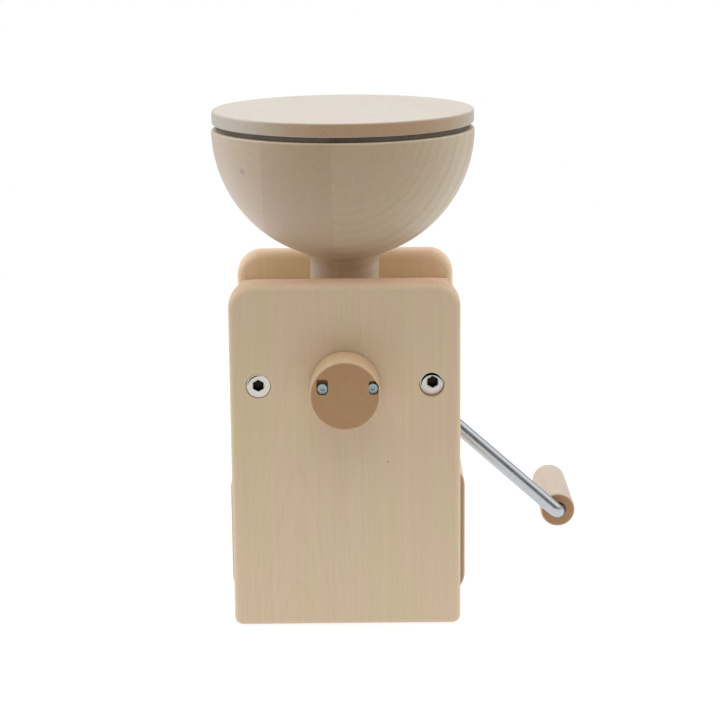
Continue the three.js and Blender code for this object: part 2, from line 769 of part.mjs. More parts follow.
// The knob, the threaded spindle behind it, its bush and the thrust ball
function addGrindSetting() {
  const knobBack = frontFace - knobBoardGap;
  const knobFront = knobBack - knobLength;
  const plateRadius = knobRadius - spindlePlateWall - seatGap;
  const round = knobFrontRound;
  const screwPlaces = [
    ['left', -knobLeftScrewReach],
    ['right', knobRightScrewReach],
  ];
  const knobShape = turned([
    [0, knobFront],
    ...arc(knobRadius - round, knobFront + round, round, -Math.PI / 2, 0, edgeSteps),
    [knobRadius, knobBack - knobBackRound],
    [knobRadius - knobBackRound, knobBack],
    [0, knobBack],
  ], largeSides);
  const recessFloor = knobBack - spindlePlateThickness - seatGap;
  const knobCuts = [barAlongY(plateRadius + seatGap, recessFloor, knobBack + cutOverrun, 0, 0, largeSides)];
  const plateCuts = [];
  const headSeat = knobFront + knobScrewSink + knobScrewHeadLength;
  for (const [, x] of screwPlaces) {
    const headBore = knobScrewHeadRadius + seatGap;
    const shankBore = knobScrewShankRadius + seatGap;
    knobCuts.push(barAlongY(headBore, knobFront - cutOverrun, headSeat, x, knobScrewHeight, smallSides));
    const through = barAlongY(shankBore, knobFront, knobBack + cutOverrun, x, knobScrewHeight, smallSides);
    knobCuts.push(through);
    plateCuts.push(through.clone());
  }
  addPiece(shaftLine, 'adjusting_knob', cut(knobShape, knobCuts), beech);
  const plateFace = knobBack - spindlePlateThickness;
  const spindle = turned([
    [0, plateFace],
    [plateRadius, plateFace],
    [plateRadius, knobBack],
    [spindleRadius, knobBack],
    [spindleRadius, spindleTip],
    [0, spindleTip],
  ]);
  const ballPocket = barAlongY(ballPocketRadius, ballCentre - ballPocketRadius, spindleTip + cutOverrun);
  addPiece(shaftLine, 'adjusting_spindle', cut(spindle, [ballPocket, ...plateCuts]), steel);
  const shankLength = knobBack - seatGap - headSeat;
  for (const [name, x] of screwPlaces) {
    const screw = capScrew(
      knobScrewHeadRadius,
      knobScrewHeadLength,
      knobBackRound,
      knobScrewShankRadius,
      shankLength,
      knobScrewHeadRadius,
      knobScrewHeadLength / 2,
    );
    const headFace = headSeat - knobScrewHeadLength;
    addPiece(shaftLine, `knob_screw_${name}`, screw, zinc, x, headFace, knobScrewHeight);
  }
  const ball = new THREE.SphereGeometry(ballRadius, smallSides, smallSides / 2);
  addPiece(shaftLine, 'thrust_ball', ball, steel, 0, ballCentre, 0);
  const boreRadius = spindleRadius + runningGap;
  const bushStart = [boreRadius, frontFace + bushFrontInset];
  const bush = turned([
    bushStart,
    [bushOuterRadius, frontFace + bushFrontInset],
    [bushOuterRadius, recessFace],
    [bushOuterRadius + bushFlangeWidth, recessFace],
    [bushOuterRadius + bushFlangeWidth, recessFace + bushFlangeThickness],
    [boreRadius, recessFace + bushFlangeThickness],
    bushStart,
  ]);
  addPiece(shaftLine, 'threaded_bush', bush, brass);
}

const hubFront = backFace + hubBoardGap;
const hubBack = hubFront + hubLength;
const rodStart = hubBack - rodHubDepth;
const rodPlane = hubBack + rodStraightPastHub + rodHubBend;
const gripNear = rodPlane + rodGripBend + gripNearGap;
const gripFar = gripNear + gripLength;
const gripRecessFloor = gripFar - gripRecessDepth;
const rodEnd = gripRecessFloor + gripEndPlay;

// The hub is clamped to the shaft and to the bent rod by two set screws
function addHub() {
  const rodBore = rodRadius + seatGap;
  const stepPlace = (hubFront + hubShaftDepth + rodStart) / 2;
  const hubShape = turned([
    [0, hubFront],
    [hubRadius - hubEdgeChamfer, hubFront],
    [hubRadius, hubFront + hubEdgeChamfer],
    [hubRadius, hubBack - hubEdgeChamfer],
    [hubRadius - hubEdgeChamfer, hubBack],
    [0, hubBack],
  ]);
  const screwPlaces = [hubFront + hubShaftDepth / 2, (rodStart + hubBack) / 2];
  const cutters = [
    barAlongY(shaftRadius + seatGap, hubFront - cutOverrun, stepPlace),
    barAlongY(rodBore, stepPlace - seatGap, hubBack + cutOverrun),
  ];
  for (const place of screwPlaces) {
    cutters.push(barAlongZ(setScrewRadius + seatGap, 0, hubRadius + cutOverrun, 0, place, smallSides));
  }
  addPiece(crankArm, 'crank_hub', cut(hubShape, cutters), zinc);
  screwPlaces.forEach((place, index) => {
    const tip = (index === 0 ? shaftRadius : rodRadius) + seatGap;
    const screw = barAlongZ(setScrewRadius, tip, hubRadius - setScrewSink, 0, place, smallSides);
    addPiece(crankArm, `hub_set_screw_${index + 1}`, screw, steel);
  });
}

// The rod leaves the hub backwards, bends into the arm and bends back into the grip
function addRod() {
  const quarter = Math.PI / 2;
  const flat = [[0, rodStart]];
  flat.push(...arc(rodHubBend, rodPlane - rodHubBend, rodHubBend, 2 * quarter, quarter, bendSteps));
  flat.push(...arc(armLength - rodGripBend, rodPlane + rodGripBend, rodGripBend, -quarter, 0, bendSteps));
  flat.push([armLength, rodEnd]);
  const points = flat.map(([x, y]) => new THREE.Vector3(x, y, 0));
  const screwBore = gripScrewShankRadius + seatGap;
  const boreFloor = rodEnd - gripScrewShankLength;
  const bore = barAlongY(screwBore, boreFloor, rodEnd + cutOverrun, armLength, 0, smallSides);
  addPiece(crankArm, 'crank_rod', cut(tube(points, rodRadius, rodSides), [bore]), zinc);
}

function addGrip() {
  const bore = rodRadius + gripBoreGap;
  const recess = gripWasherRadius + seatGap;
  const start = [bore, gripNear];
  const farRound = Math.min(gripFarRound, gripRadius - recess - seatGap);
  const grip = turned([
    start,
    ...arc(gripRadius - gripNearRound, gripNear + gripNearRound, gripNearRound, -Math.PI / 2, 0, edgeSteps),
    ...arc(gripRadius - farRound, gripFar - farRound, farRound, 0, Math.PI / 2, edgeSteps),
    [recess, gripFar],
    [recess, gripRecessFloor],
    [bore, gripRecessFloor],
    start,
  ], largeSides);
  addPiece(crankArm, 'crank_grip', grip, beech, armLength, 0, 0);
  const washerBore = gripScrewShankRadius + seatGap;
  const washer = ring(washerBore, gripWasherRadius, rodEnd, rodEnd + gripWasherThickness);
  addPiece(crankArm, 'grip_washer', washer, zinc, armLength, 0, 0);
  const screw = capScrew(
    gripScrewHeadRadius,
    gripScrewHeadLength,
    setScrewSink,
    gripScrewShankRadius,
    gripScrewShankLength + gripWasherThickness - seatGap,
    gripScrewSocketWidth,
    gripScrewSocketDepth,
  ).rotateX(Math.PI);
  const headFace = rodEnd + gripWasherThickness + gripScrewHeadLength;
  addPiece(crankArm, 'grip_screw', screw, zinc, armLength, headFace, 0);
}

// A turned bowl with its neck and tenon; heights are counted from the rim
function addHopper() {
  const innerRadius = hopperRadius - hopperWall;
  const shoulder = blockTop - rimHeight;
  const tenonEnd = shoulder - tenonLength;
  const filletX = neckRadius + neckFillet;
  const filletZ = -Math.sqrt((hopperRadius + neckFillet) ** 2 - filletX ** 2);
  const filletEnd = Math.atan2(-filletZ, -filletX);
  const bowlStart = Math.atan2(filletZ, filletX);
  const throatAngle = -Math.acos(throatRadius / innerRadius);
  const start = [throatRadius, tenonEnd];
  const bowl = turned([
    start,
    [tenonRadius, tenonEnd],
    [tenonRadius, shoulder],
    [neckRadius, shoulder],
    ...arc(filletX, filletZ, neckFillet, Math.PI, filletEnd, filletSteps),
    ...arc(0, 0, hopperRadius, bowlStart, 0, bowlSteps).slice(1),
    ...arc(0, 0, innerRadius, 0, throatAngle, innerBowlSteps),
    start,
  ], hopperSides);
  addPiece(hopperLine, 'hopper_bowl', bowl, beech);
}

function addLid() {
  const spigotRadius = hopperRadius - hopperWall - lidSpigotGap;
  const under = sealHeight;
  const top = under + lidThickness;
  const round = lidEdgeRound;
  const lid = turned([
    [0, under - lidSpigotDepth],
    [spigotRadius, under - lidSpigotDepth],
    [spigotRadius, under],
    ...arc(lidRadius - round, under + round, round, -Math.PI / 2, 0, edgeSteps),
    ...arc(lidRadius - round, top - round, round, 0, Math.PI / 2, edgeSteps),
    [0, top],
  ], hopperSides);
  addPiece(hopperLine, 'lid', lid, beech);
  const seal = ring(spigotRadius + seatGap, hopperRadius - sealInset, 0, under, hopperSides);
  addPiece(hopperLine, 'lid_seal', seal, sealRubber);
}

// The drawer: two blocks with rounded outer edges, two sides and a bottom in grooves
function addDrawer() {
  const bottom = baseThickness + seatGap;
  const top = bottom + drawerHeight;
  const left = drawerShift - boardWidth / 2 - drawerOverhang;
  const right = drawerShift + boardWidth / 2 + drawerOverhang;
  const innerLeft = left + drawerEndThickness;
  const innerRight = right - drawerEndThickness;
  const half = halfDepth - drawerSideGap;
  const innerHalf = half - drawerSideThickness;
  const panelBottom = bottom + drawerBottomLift;
  const panelTop = panelBottom + drawerBottomThickness;
  const tongue = drawerGrooveDepth;
  const groove = box(
    [innerLeft - tongue - seatGap, innerRight + tongue + seatGap],
    [-innerHalf - tongue - seatGap, innerHalf + tongue + seatGap],
    [panelBottom, panelTop + seatGap],
  );
  const endOutline = (side) => {
    const outer = side > 0 ? right : left;
    const inner = side > 0 ? innerRight : innerLeft;
    const round = drawerCornerRadius;
    const lower = arc(outer - side * round, bottom + round, round, -Math.PI / 2, 0, cornerSteps);
    const upper = arc(outer - side * round, top - round, round, 0, Math.PI / 2, cornerSteps);
    const mirrored = ([x, z]) => [2 * (outer - side * round) - x, z];
    const outline = [...lower, ...upper];
    const rounded = side > 0 ? outline : outline.map(mirrored);
    return [[inner, bottom], ...rounded, [inner, top]];
  };
  for (const [name, side] of [['left', -1], ['right', 1]]) {
    const points = endOutline(side);
    const outline = side > 0 ? points : points.reverse();
    const end = slab(outline, -half, half, drawerEdgeRound);
    addPiece(mill, `drawer_${name}_end`, cut(end, [groove]), beech);
  }
  const sideTop = top - drawerSideDrop;
  for (const [name, side] of [['front', -1], ['back', 1]]) {
    const [low, high] = [Math.min(side * half, side * innerHalf), Math.max(side * half, side * innerHalf)];
    const wall = box([innerLeft, innerRight], [low, high], [bottom + drawerEdgeRound, sideTop]);
    addPiece(mill, `drawer_${name}_side`, cut(wall, [groove]), beech);
  }
  const panel = box(
    [innerLeft - tongue, innerRight + tongue],
    [-innerHalf - tongue, innerHalf + tongue],
    [panelBottom, panelTop],
  );
  addPiece(mill, 'drawer_bottom', panel, beech);
}

addBoards();
addBase();
addBodyScrews();
addMillBlock();
addFixedPack();
addReturnSpring();
addRotor();
addGrindSetting();
addHub();
addRod();
addGrip();
addHopper();
addLid();
addDrawer();

export default mill;
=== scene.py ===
# Hand grain mill in pale beech: the finish of every surface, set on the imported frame.
# Shapes are worked out in millimetres and go to metres when their mesh is made.

import json

import bmesh
import bpy
import numpy as np
from mathutils import Matrix, Vector


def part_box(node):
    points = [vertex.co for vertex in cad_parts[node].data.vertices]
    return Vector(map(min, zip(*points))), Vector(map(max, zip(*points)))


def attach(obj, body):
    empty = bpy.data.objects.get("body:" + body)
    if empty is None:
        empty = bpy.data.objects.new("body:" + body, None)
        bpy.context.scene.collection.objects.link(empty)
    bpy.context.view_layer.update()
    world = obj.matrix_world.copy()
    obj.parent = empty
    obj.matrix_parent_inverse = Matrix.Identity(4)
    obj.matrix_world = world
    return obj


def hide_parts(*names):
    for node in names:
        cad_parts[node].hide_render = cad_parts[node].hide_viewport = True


mm = 0.001
overrun = 2.0  # how far a cutter passes the face that it opens
overlap = 1.0  # how far a bore starts before the place where it opens into another

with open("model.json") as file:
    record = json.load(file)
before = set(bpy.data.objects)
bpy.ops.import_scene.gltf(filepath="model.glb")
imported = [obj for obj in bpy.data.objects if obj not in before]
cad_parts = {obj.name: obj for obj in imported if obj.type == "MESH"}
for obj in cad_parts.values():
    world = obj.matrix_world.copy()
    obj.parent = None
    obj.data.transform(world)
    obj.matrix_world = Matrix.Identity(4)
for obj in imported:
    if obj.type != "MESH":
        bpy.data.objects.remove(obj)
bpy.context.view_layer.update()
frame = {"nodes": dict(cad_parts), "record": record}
bodies = frame["record"]["behaviour"]["bodies"]
bodyOfNode = {node: body for body, nodes in bodies.items() for node in nodes}

# The mill's corners, and which way along y the parts there face
corners = {"front_left": -1, "front_right": -1, "back_left": 1, "back_right": 1}


# Lowest and highest corner of a node, in millimetres
def nodeBox(node):
    low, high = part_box(node)
    return np.array(low) / mm, np.array(high) / mm


def nodeMiddle(node):
    low, high = nodeBox(node)
    return (low + high) / 2


# The point at y = 0 on the axis of a node that lies along y
def axisOf(node):
    return nodeMiddle(node) * (1, 0, 1)


# The y where a node ends: towards the front with -1, towards the back with 1
def endOf(node, way):
    low, high = nodeBox(node)
    return high[1] if way > 0 else low[1]


# Radius of a round node, from its width
def radiusOf(node):
    low, high = nodeBox(node)
    return (high[0] - low[0]) / 2


# Faces on a grid of points whose rows are closed loops: quads between its neighbours, and a cap on its
# first and its last row, or for a ring quads that join those two
def gridFaces(rows, columns, ring):
    index = np.arange(rows * columns).reshape(rows, columns)
    caps = [] if ring else [index[:1, ::-1], index[-1:]]
    if ring:
        index = np.vstack([index, index[:1]])
    index = np.hstack([index, index[:, :1]])
    quads = np.stack([index[:-1, :-1], index[:-1, 1:], index[1:, 1:], index[1:, :-1]], -1)
    return [quads.reshape(-1, 4), *caps]


# Six times a closed shape's volume is the sum of a . (b x c) over its triangles;
# below zero the shape is inside out
def facesOutward(points, faceSets):
    fans = [np.stack([np.repeat(f[:, :1], f.shape[1] - 2, 1), f[:, 1:-1], f[:, 2:]], -1) for f in faceSets]
    a, b, c = points[np.concatenate([fan.reshape(-1, 3) for fan in fans])].transpose(1, 0, 2)
    if np.einsum("ij,ij->i", a, np.cross(b, c)).sum() < 0:
        return [f[:, ::-1] for f in faceSets]
    return faceSets


def newObject(name, data):
    made = bpy.data.objects.new(name, data)
    bpy.context.scene.collection.objects.link(made)
    return made


# A closed piece from a grid of points in millimetres
def makePiece(name, grid, ring=False):
    points = grid.reshape(-1, 3)
    faceSets = facesOutward(points - points.mean(0), gridFaces(*grid.shape[:2], ring))
    sizes = np.concatenate([np.full(len(f), f.shape[1]) for f in faceSets])
    loops = np.concatenate([f.ravel() for f in faceSets])
    mesh = bpy.data.meshes.new(name)
    mesh.vertices.add(len(points))
    mesh.vertices.foreach_set("co", (points * mm).astype(np.float32).ravel())
    mesh.loops.add(len(loops))
    mesh.loops.foreach_set("vertex_index", loops.astype(np.int32))
    mesh.polygons.add(len(sizes))
    mesh.polygons.foreach_set("loop_start", (np.cumsum(sizes) - sizes).astype(np.int32))
    mesh.update(calc_edges=True)
    mesh.validate()
    return newObject(name, mesh)


# Each corner becomes an arc that starts radius * tan(turn / 2) before it, and whose centre is one radius
# to the side of the way in. Outward normals point away from the centre on a left turn.
def roundCorners(points, radii, steps=8, closed=True):
    points = np.asarray(points, float)
    radii = np.broadcast_to(radii, len(points))
    places, normals = [], []
    for i, (corner, radius) in enumerate(zip(points, radii)):
        into = corner - points[i - 1]
        out = points[(i + 1) % len(points)] - corner
        into, out = into / np.hypot(*into), out / np.hypot(*out)
        turn = np.arctan2(into[0] * out[1] - into[1] * out[0], into @ out)
        miter = np.array([into[1] + out[1], -into[0] - out[0]]) / (1 + into @ out + 1e-9)
        if radius <= 0 or (not closed and i in (0, len(points) - 1)):
            places.append(corner[None])
            normals.append(miter[None])
            continue
        start = corner - into * radius * np.tan(abs(turn) / 2)
        centre = start + np.sign(turn) * radius * np.array([-into[1], into[0]])
        angle = np.linspace(0, turn, steps + 1)[:, None]
        arm = start - centre
        bend = arm * np.cos(angle) + np.array([-arm[1], arm[0]]) * np.sin(angle)
        places.append(centre + bend)
        normals.append(bend / radius * np.sign(turn))
    return np.concatenate(places), np.concatenate(normals)


# Points on a circle between two angles in degrees
def arc(centre, radius, fromAngle, toAngle, steps):
    angle = np.radians(np.linspace(fromAngle, toAngle, steps + 1))
    return np.stack([centre[0] + radius * np.cos(angle), centre[1] + radius * np.sin(angle)], 1)


# The corners of a rectangle, or of half the section of a disc or ring
def rectangle(left, right, low, high):
    return [(left, low), (right, low), (right, high), (left, high)]


# An outline in x and z carried from one y to another. Near both ends it is drawn in by
# edge * (1 - sin t) while it rises by edge * (1 - cos t), which rounds the edge; each of its points
# can have an edge of its own.
def slab(name, outline, low, high, edge, steps=6):
    points, normals = outline
    edge = np.broadcast_to(edge, len(points))[None]
    t = np.linspace(0, np.pi / 2, steps + 1)[:, None] if edge.max() > 0 else np.zeros((1, 1))
    inset = edge * (1 - np.sin(np.vstack([t, t[::-1]])))
    place = np.vstack([low + edge * (1 - np.cos(t)), high - edge * (1 - np.cos(t[::-1]))])
    flat = points[None] - normals[None] * inset[..., None]
    return makePiece(name, np.stack([flat[..., 0], place, flat[..., 1]], -1))


# A profile of (radius, place) pairs turned round an axis through centre:
# point = centre + place * axis + radius * (cos a, sin a). A ring's profile closes on itself; any other
# starts and ends on the axis, with flat ends. Edges are the radii that round its corners.
def turned(name, profile, centre=(0, 0, 0), axis="y", sides=96, ring=False, edges=0, steps=8):
    profile, _ = roundCorners(profile, edges, steps, ring)
    body = profile if ring else profile[1:-1]
    a = np.arange(sides) / sides * 2 * np.pi
    one, two, along = {"x": (1, 2, 0), "y": (2, 0, 1), "z": (0, 1, 2)}[axis]
    grid = np.empty((len(body), sides, 3))
    grid[..., one] = body[:, :1] * np.cos(a)
    grid[..., two] = body[:, :1] * np.sin(a)
    grid[..., along] = body[:, 1:]
    return makePiece(name, grid + np.asarray(centre, float), ring)


# A round section carried along a path that lies in one plane: across is that plane's normal, and
# the section's other direction is tangent x across
def swept(name, path, radii, across, sides):
    tangent = np.gradient(path, axis=0)
    tangent /= np.linalg.norm(tangent, axis=1, keepdims=True)
    side = np.cross(tangent, across)
    a = (np.arange(sides) / sides * 2 * np.pi)[None, :, None]
    ring = np.cos(a) * side[:, None] + np.sin(a) * np.asarray(across)[None, None]
    return makePiece(name, path[:, None] + np.asarray(radii)[:, None, None] * ring)


# Merges points closer than the gap. Then faces that lie flat within so many degrees become one, or the
# slivers that the merging leaves are dropped.
def tidyMesh(mesh, gap=0.0002, flatWithin=None):
    shape = bmesh.new()
    shape.from_mesh(mesh)
    bmesh.ops.remove_doubles(shape, verts=shape.verts, dist=gap * mm)
    if flatWithin:
        within = np.radians(flatWithin)
        bmesh.ops.dissolve_limit(shape, angle_limit=within, verts=shape.verts, edges=shape.edges)
    else:
        bmesh.ops.dissolve_degenerate(shape, edges=shape.edges, dist=gap * mm)
    shape.to_mesh(mesh)
    shape.free()


# Takes the cutters' shapes out of a piece for good
def carve(piece, cutters):
    for cutter in cutters:
        step = piece.modifiers.new("carve", "BOOLEAN")
        step.operation = "DIFFERENCE"
        step.solver = "EXACT"
        step.object = cutter
        graph = bpy.context.evaluated_depsgraph_get()
        mesh = bpy.data.meshes.new_from_object(piece.evaluated_get(graph))
        piece.modifiers.clear()
        piece.data = mesh
        bpy.data.objects.remove(cutter)
        if not mesh.polygons:
            raise ValueError(piece.name + " was carved away")
    tidyMesh(piece.data)
    piece.data.name = piece.name
    return piece


# A round cutter from a floor out through a face, with its mouth eased at 45 degrees
def boreCutter(centre, radius, floor, face, ease=0.0, axis="y", sides=64):
    out = np.sign(face - floor)
    past = face + out * overrun
    mouth = radius + (ease + overrun if ease else 0)
    profile = [(0, floor), (radius, floor), (radius, face - out * ease), (mouth, past), (0, past)]
    return turned("cutter", profile, centre, axis, sides)


# A cutter that eases a hole's mouth at 45 degrees, down to its depth
def dishCutter(centre, radius, depth, face, out):
    floor, past = face - out * depth, face + out * overrun
    profile = [(0, floor), (radius - depth, floor), (radius + overrun, past), (0, past)]
    return turned("cutter", profile, centre, sides=64)


# A cutter for a hex socket, with a corner upwards
def hexCutter(centre, width, floor, face):
    low, high = sorted((floor, face + np.sign(face - floor) * overrun))
    flat = arc(centre[[0, 2]], width / 3**0.5, 90, 390, 5)
    return slab("cutter", roundCorners(flat, 0), low, high, 0)


copyLook = {
    "join": 0.002, "flatWithin": 0.5, "sharpFrom": 40, "segments": 3,
    "block": 0.9, "side": 0.5, "panel": 0.3, "pad": 0.4,
}


# A node's own triangles joined up, with its flat faces made whole and its edges eased
def easedCopy(node, ease):
    mesh = frame["nodes"][node].data.copy()
    tidyMesh(mesh, copyLook["join"], copyLook["flatWithin"])
    if "custom_normal" in mesh.attributes:
        mesh.attributes.remove(mesh.attributes["custom_normal"])
    mesh.name = node + "_eased"
    piece = newObject(node + "_eased", mesh)
    bevel = piece.modifiers.new("easedEdges", "BEVEL")
    bevel.width = ease * mm
    bevel.segments = copyLook["segments"]
    bevel.limit_method = "ANGLE"
    bevel.angle_limit = np.radians(copyLook["sharpFrom"])
    return piece


# Paints a piece, smooths what bends gently and hangs it on the body of the node that it stands for
def settle(piece, node, paint, crease=34):
    mesh = piece.data
    mesh.materials.clear()
    mesh.materials.append(paint)
    mesh.polygons.foreach_set("use_smooth", np.ones(len(mesh.polygons), bool))
    mesh.set_sharp_from_angle(angle=np.radians(crease))
    even = piece.modifiers.new("evenNormals", "WEIGHTED_NORMAL")
    even.keep_sharp = True
    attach(piece, bodyOfNode[node])
    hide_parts(node)


# An sRGB colour as the linear one that the nodes take
def colour(red, green, blue):
    srgb = np.array([red, green, blue])
    linear = np.where(srgb <= 0.04045, srgb / 12.92, ((srgb + 0.055) / 1.055) ** 2.4)
    return (*linear.tolist(), 1)


# Sets sockets to values, or links them to the outputs that drive them
def feed(tree, sockets, feeds):
    for key, value in feeds.items():
        if isinstance(value, bpy.types.NodeSocket):
            tree.links.new(value, sockets[key])
        else:
            sockets[key].default_value = value


def put(tree, kind, feeds=None, **settings):
    node = tree.nodes.new("ShaderNode" + kind)
    for name, value in settings.items():
        setattr(node, name, value)
    feed(tree, node.inputs, feeds or {})
    return node


def calc(tree, operation, *values, clamp=False):
    return put(tree, "Math", dict(enumerate(values)), operation=operation, use_clamp=clamp).outputs[0]


# a * b, or a * b + c
def times(tree, a, b, c=None):
    return calc(tree, "MULTIPLY", a, b) if c is None else calc(tree, "MULTIPLY_ADD", a, b, c)


def vector(tree, operation, a, b=(0, 0, 0)):
    node = put(tree, "VectorMath", {0: a, 1: b}, operation=operation)
    return node.outputs["Value" if operation in ("LENGTH", "DOT_PRODUCT", "DISTANCE") else "Vector"]


def remap(tree, value, low, high, newLow=0.0, newHigh=1.0):
    feeds = {0: value, 1: low, 2: high, 3: newLow, 4: newHigh}
    return put(tree, "MapRange", feeds, interpolation_type="SMOOTHSTEP").outputs[0]


def mixed(tree, share, a, b, blend="MIX"):
    return put(tree, "Mix", {0: share, 6: a, 7: b}, data_type="RGBA", blend_type=blend).outputs[2]


# The number a where share is 0, and b where it is 1
def choose(tree, share, a, b):
    return put(tree, "Mix", {0: share, 2: a, 3: b}, data_type="FLOAT").outputs[0]


def noise(tree, place, scale, detail=2.0, roughness=0.5, output="Fac"):
    spread = vector(tree, "MULTIPLY", place, scale)
    feeds = {"Vector": spread, "Scale": 1.0, "Detail": detail, "Roughness": roughness}
    return put(tree, "TexNoise", feeds).outputs[output]


# Noise that swings round zero, by a half at most
def swing(tree, place, scale, detail, roughness):
    return calc(tree, "SUBTRACT", noise(tree, place, scale, detail, roughness), 0.5)


# A group that takes a place and some numbers, and gives numbers
def newGroup(name, takes, gives):
    tree = bpy.data.node_groups.new(name, "ShaderNodeTree")
    tree.interface.new_socket(name="place", in_out="INPUT", socket_type="NodeSocketVector")
    for label in takes:
        tree.interface.new_socket(name=label, in_out="INPUT", socket_type="NodeSocketFloat")
    for label in gives:
        tree.interface.new_socket(name=label, in_out="OUTPUT", socket_type="NodeSocketFloat")
    enter = tree.nodes.new("NodeGroupInput").outputs
    leave = tree.nodes.new("NodeGroupOutput").inputs
    return tree, enter, leave


figureTakes = (
    "ringGap", "ringDepth", "plainCore", "lateFrom", "hueShift", "streak", "flecks", "taper", "warp",
)
figureLook = {
    "sway": ((0.016, 0.016, 0.005), 1.5, 0.5), "hue": ((0.05, 0.05, 0.011), 2, 0.5),
    "wide": ((0.32, 0.32, 0.006), 3, 0.55), "fibre": ((1.5, 1.5, 0.02), 3, 0.6),
    "hair": ((7, 7, 0.12), 2, 0.6),
    "wideShare": 0.9, "fibreShare": 0.8, "hairShare": 0.45, "baseTone": 0.35, "ringTone": 0.55,
    "lateFull": 0.92, "yearEnd": 0.93, "palestYear": 0.3, "coreFrom": 0.4, "cells": (1.25, 1.25, 0.3),
    "spotInner": 0.1, "spotOuter": 0.26, "rareFrom": 0.35, "rareFull": 0.7,
    "hairRelief": 0.8, "fibreRelief": 0.5, "fleckRelief": -0.5,
}


# Growth rings, fibres and flecks of solid beech. The place is in millimetres from the pith, and the
# grain runs along its z, so a face cut across the grain shows rings and one along it shows streaks.
# A year is the whole part of (radius + taper * z) / gap, and its late wood darkens towards its end.
def buildWoodFigure():
    look = figureLook
    tree, enter, leave = newGroup("woodFigure", figureTakes, ["tone", "fleck", "relief", "hue"])
    place = enter["place"]
    slow = noise(tree, place, *look["sway"], "Color")
    feeds = {0: vector(tree, "SUBTRACT", slow, (0.5, 0.5, 0.5)), "Scale": enter["warp"]}
    sway = put(tree, "VectorMath", feeds, operation="SCALE").outputs[0]
    bent = vector(tree, "ADD", place, vector(tree, "MULTIPLY", sway, (1, 1, 0)))
    height = put(tree, "SeparateXYZ", {0: bent}).outputs[2]
    radius = vector(tree, "LENGTH", vector(tree, "MULTIPLY", bent, (1, 1, 0)))
    phase = calc(tree, "DIVIDE", times(tree, height, enter["taper"], radius), enter["ringGap"])
    share = calc(tree, "FRACT", phase)
    late = remap(tree, share, enter["lateFrom"], look["lateFull"])
    late = times(tree, late, remap(tree, share, look["yearEnd"], 1.0, 1, 0))
    year = put(tree, "TexWhiteNoise", {"W": calc(tree, "FLOOR", phase)}, noise_dimensions="1D").outputs[0]
    year = times(tree, year, 1 - look["palestYear"], look["palestYear"])
    core = remap(tree, calc(tree, "DIVIDE", radius, enter["plainCore"]), look["coreFrom"], 1.0)
    ring = times(tree, times(tree, late, year), core)
    ring = times(tree, ring, enter["ringDepth"])
    wide, fibre, hair = (swing(tree, place, *look[key]) for key in ("wide", "fibre", "hair"))
    streak = times(tree, fibre, look["fibreShare"])
    streak = times(tree, wide, look["wideShare"], streak)
    streak = times(tree, hair, look["hairShare"], streak)
    streak = times(tree, streak, enter["streak"])
    base = times(tree, ring, look["ringTone"], look["baseTone"])
    tone = calc(tree, "ADD", base, streak, clamp=True)
    spread = vector(tree, "MULTIPLY", place, look["cells"])
    cells = put(tree, "TexVoronoi", {"Vector": spread, "Scale": 1.0}).outputs
    spot = remap(tree, cells["Distance"], look["spotInner"], look["spotOuter"], 1, 0)
    rare = put(tree, "SeparateColor", {0: cells["Color"]}).outputs[0]
    fleck = times(tree, spot, remap(tree, rare, look["rareFrom"], look["rareFull"]))
    fleck = times(tree, fleck, enter["flecks"])
    relief = times(tree, fibre, look["fibreRelief"])
    relief = times(tree, fleck, look["fleckRelief"], relief)
    relief = times(tree, hair, look["hairRelief"], relief)
    hue = calc(tree, "ADD", noise(tree, place, *look["hue"]), enter["hueShift"])
    feed(tree, leave, {"tone": tone, "fleck": fleck, "relief": relief, "hue": hue})
    return tree


skinLook = {
    "smudge": ((0.12, 0.12, 0.12), 3, 0.6), "hairs": ((6, 0.35, 6), 2, 0.6), "grit": ((5, 5, 5), 3, 0.7),
    "rough": 0.25, "gritRelief": 0.3, "bump": 0.2,
}


# Fine handling marks on metal: its rough output goes up and down by a smudge and by hair scratches
def buildMetalSkin():
    look = skinLook
    tree, enter, leave = newGroup("metalSkin", ["scratches"], ["rough", "relief", "tone"])
    smudge, hairs, grit = (swing(tree, enter["place"], *look[key]) for key in ("smudge", "hairs", "grit"))
    marks = times(tree, hairs, enter["scratches"])
    rough = times(tree, calc(tree, "ADD", smudge, marks), look["rough"])
    relief = times(tree, grit, look["gritRelief"], marks)
    feed(tree, leave, {"rough": rough, "relief": relief, "tone": calc(tree, "ADD", smudge, 0.5)})
    return tree


woodFigure = buildWoodFigure()
metalSkin = buildMetalSkin()


def newMaterial(name):
    material = bpy.data.materials.new(name)
    material.use_nodes = True
    tree = material.node_tree
    return material, tree, tree.nodes["Principled BSDF"]


# Object coordinates in millimetres
def objectPlace(tree):
    return vector(tree, "MULTIPLY", put(tree, "TexCoord").outputs["Object"], (1 / mm,) * 3)


def bump(tree, shader, height, strength, depth):
    feeds = {"Height": height, "Strength": strength, "Distance": depth * mm}
    feed(tree, shader.inputs, {"Normal": put(tree, "Bump", feeds).outputs[0]})


# The grain's axis is turned on to Z, after a lean by yaw round the upright axis where it lies flat
def grainPlace(tree, grain, yaw):
    yaw = np.radians(yaw)
    turn, axis = {
        "x": ((0, -np.pi / 2, 0), (1, 0, 0)),
        "y": ((np.pi / 2, yaw, 0), (-np.sin(yaw), np.cos(yaw), 0)),
        "z": ((0, 0, 0), (0, 0, 1)),
    }[grain]
    coordinates = put(tree, "TexCoord").outputs
    feeds = {"Vector": coordinates["Object"], "Rotation": turn, "Scale": (1 / mm,) * 3}
    facing = calc(tree, "ABSOLUTE", vector(tree, "DOT_PRODUCT", coordinates["Normal"], axis))
    return coordinates["Object"], put(tree, "Mapping", feeds).outputs[0], facing


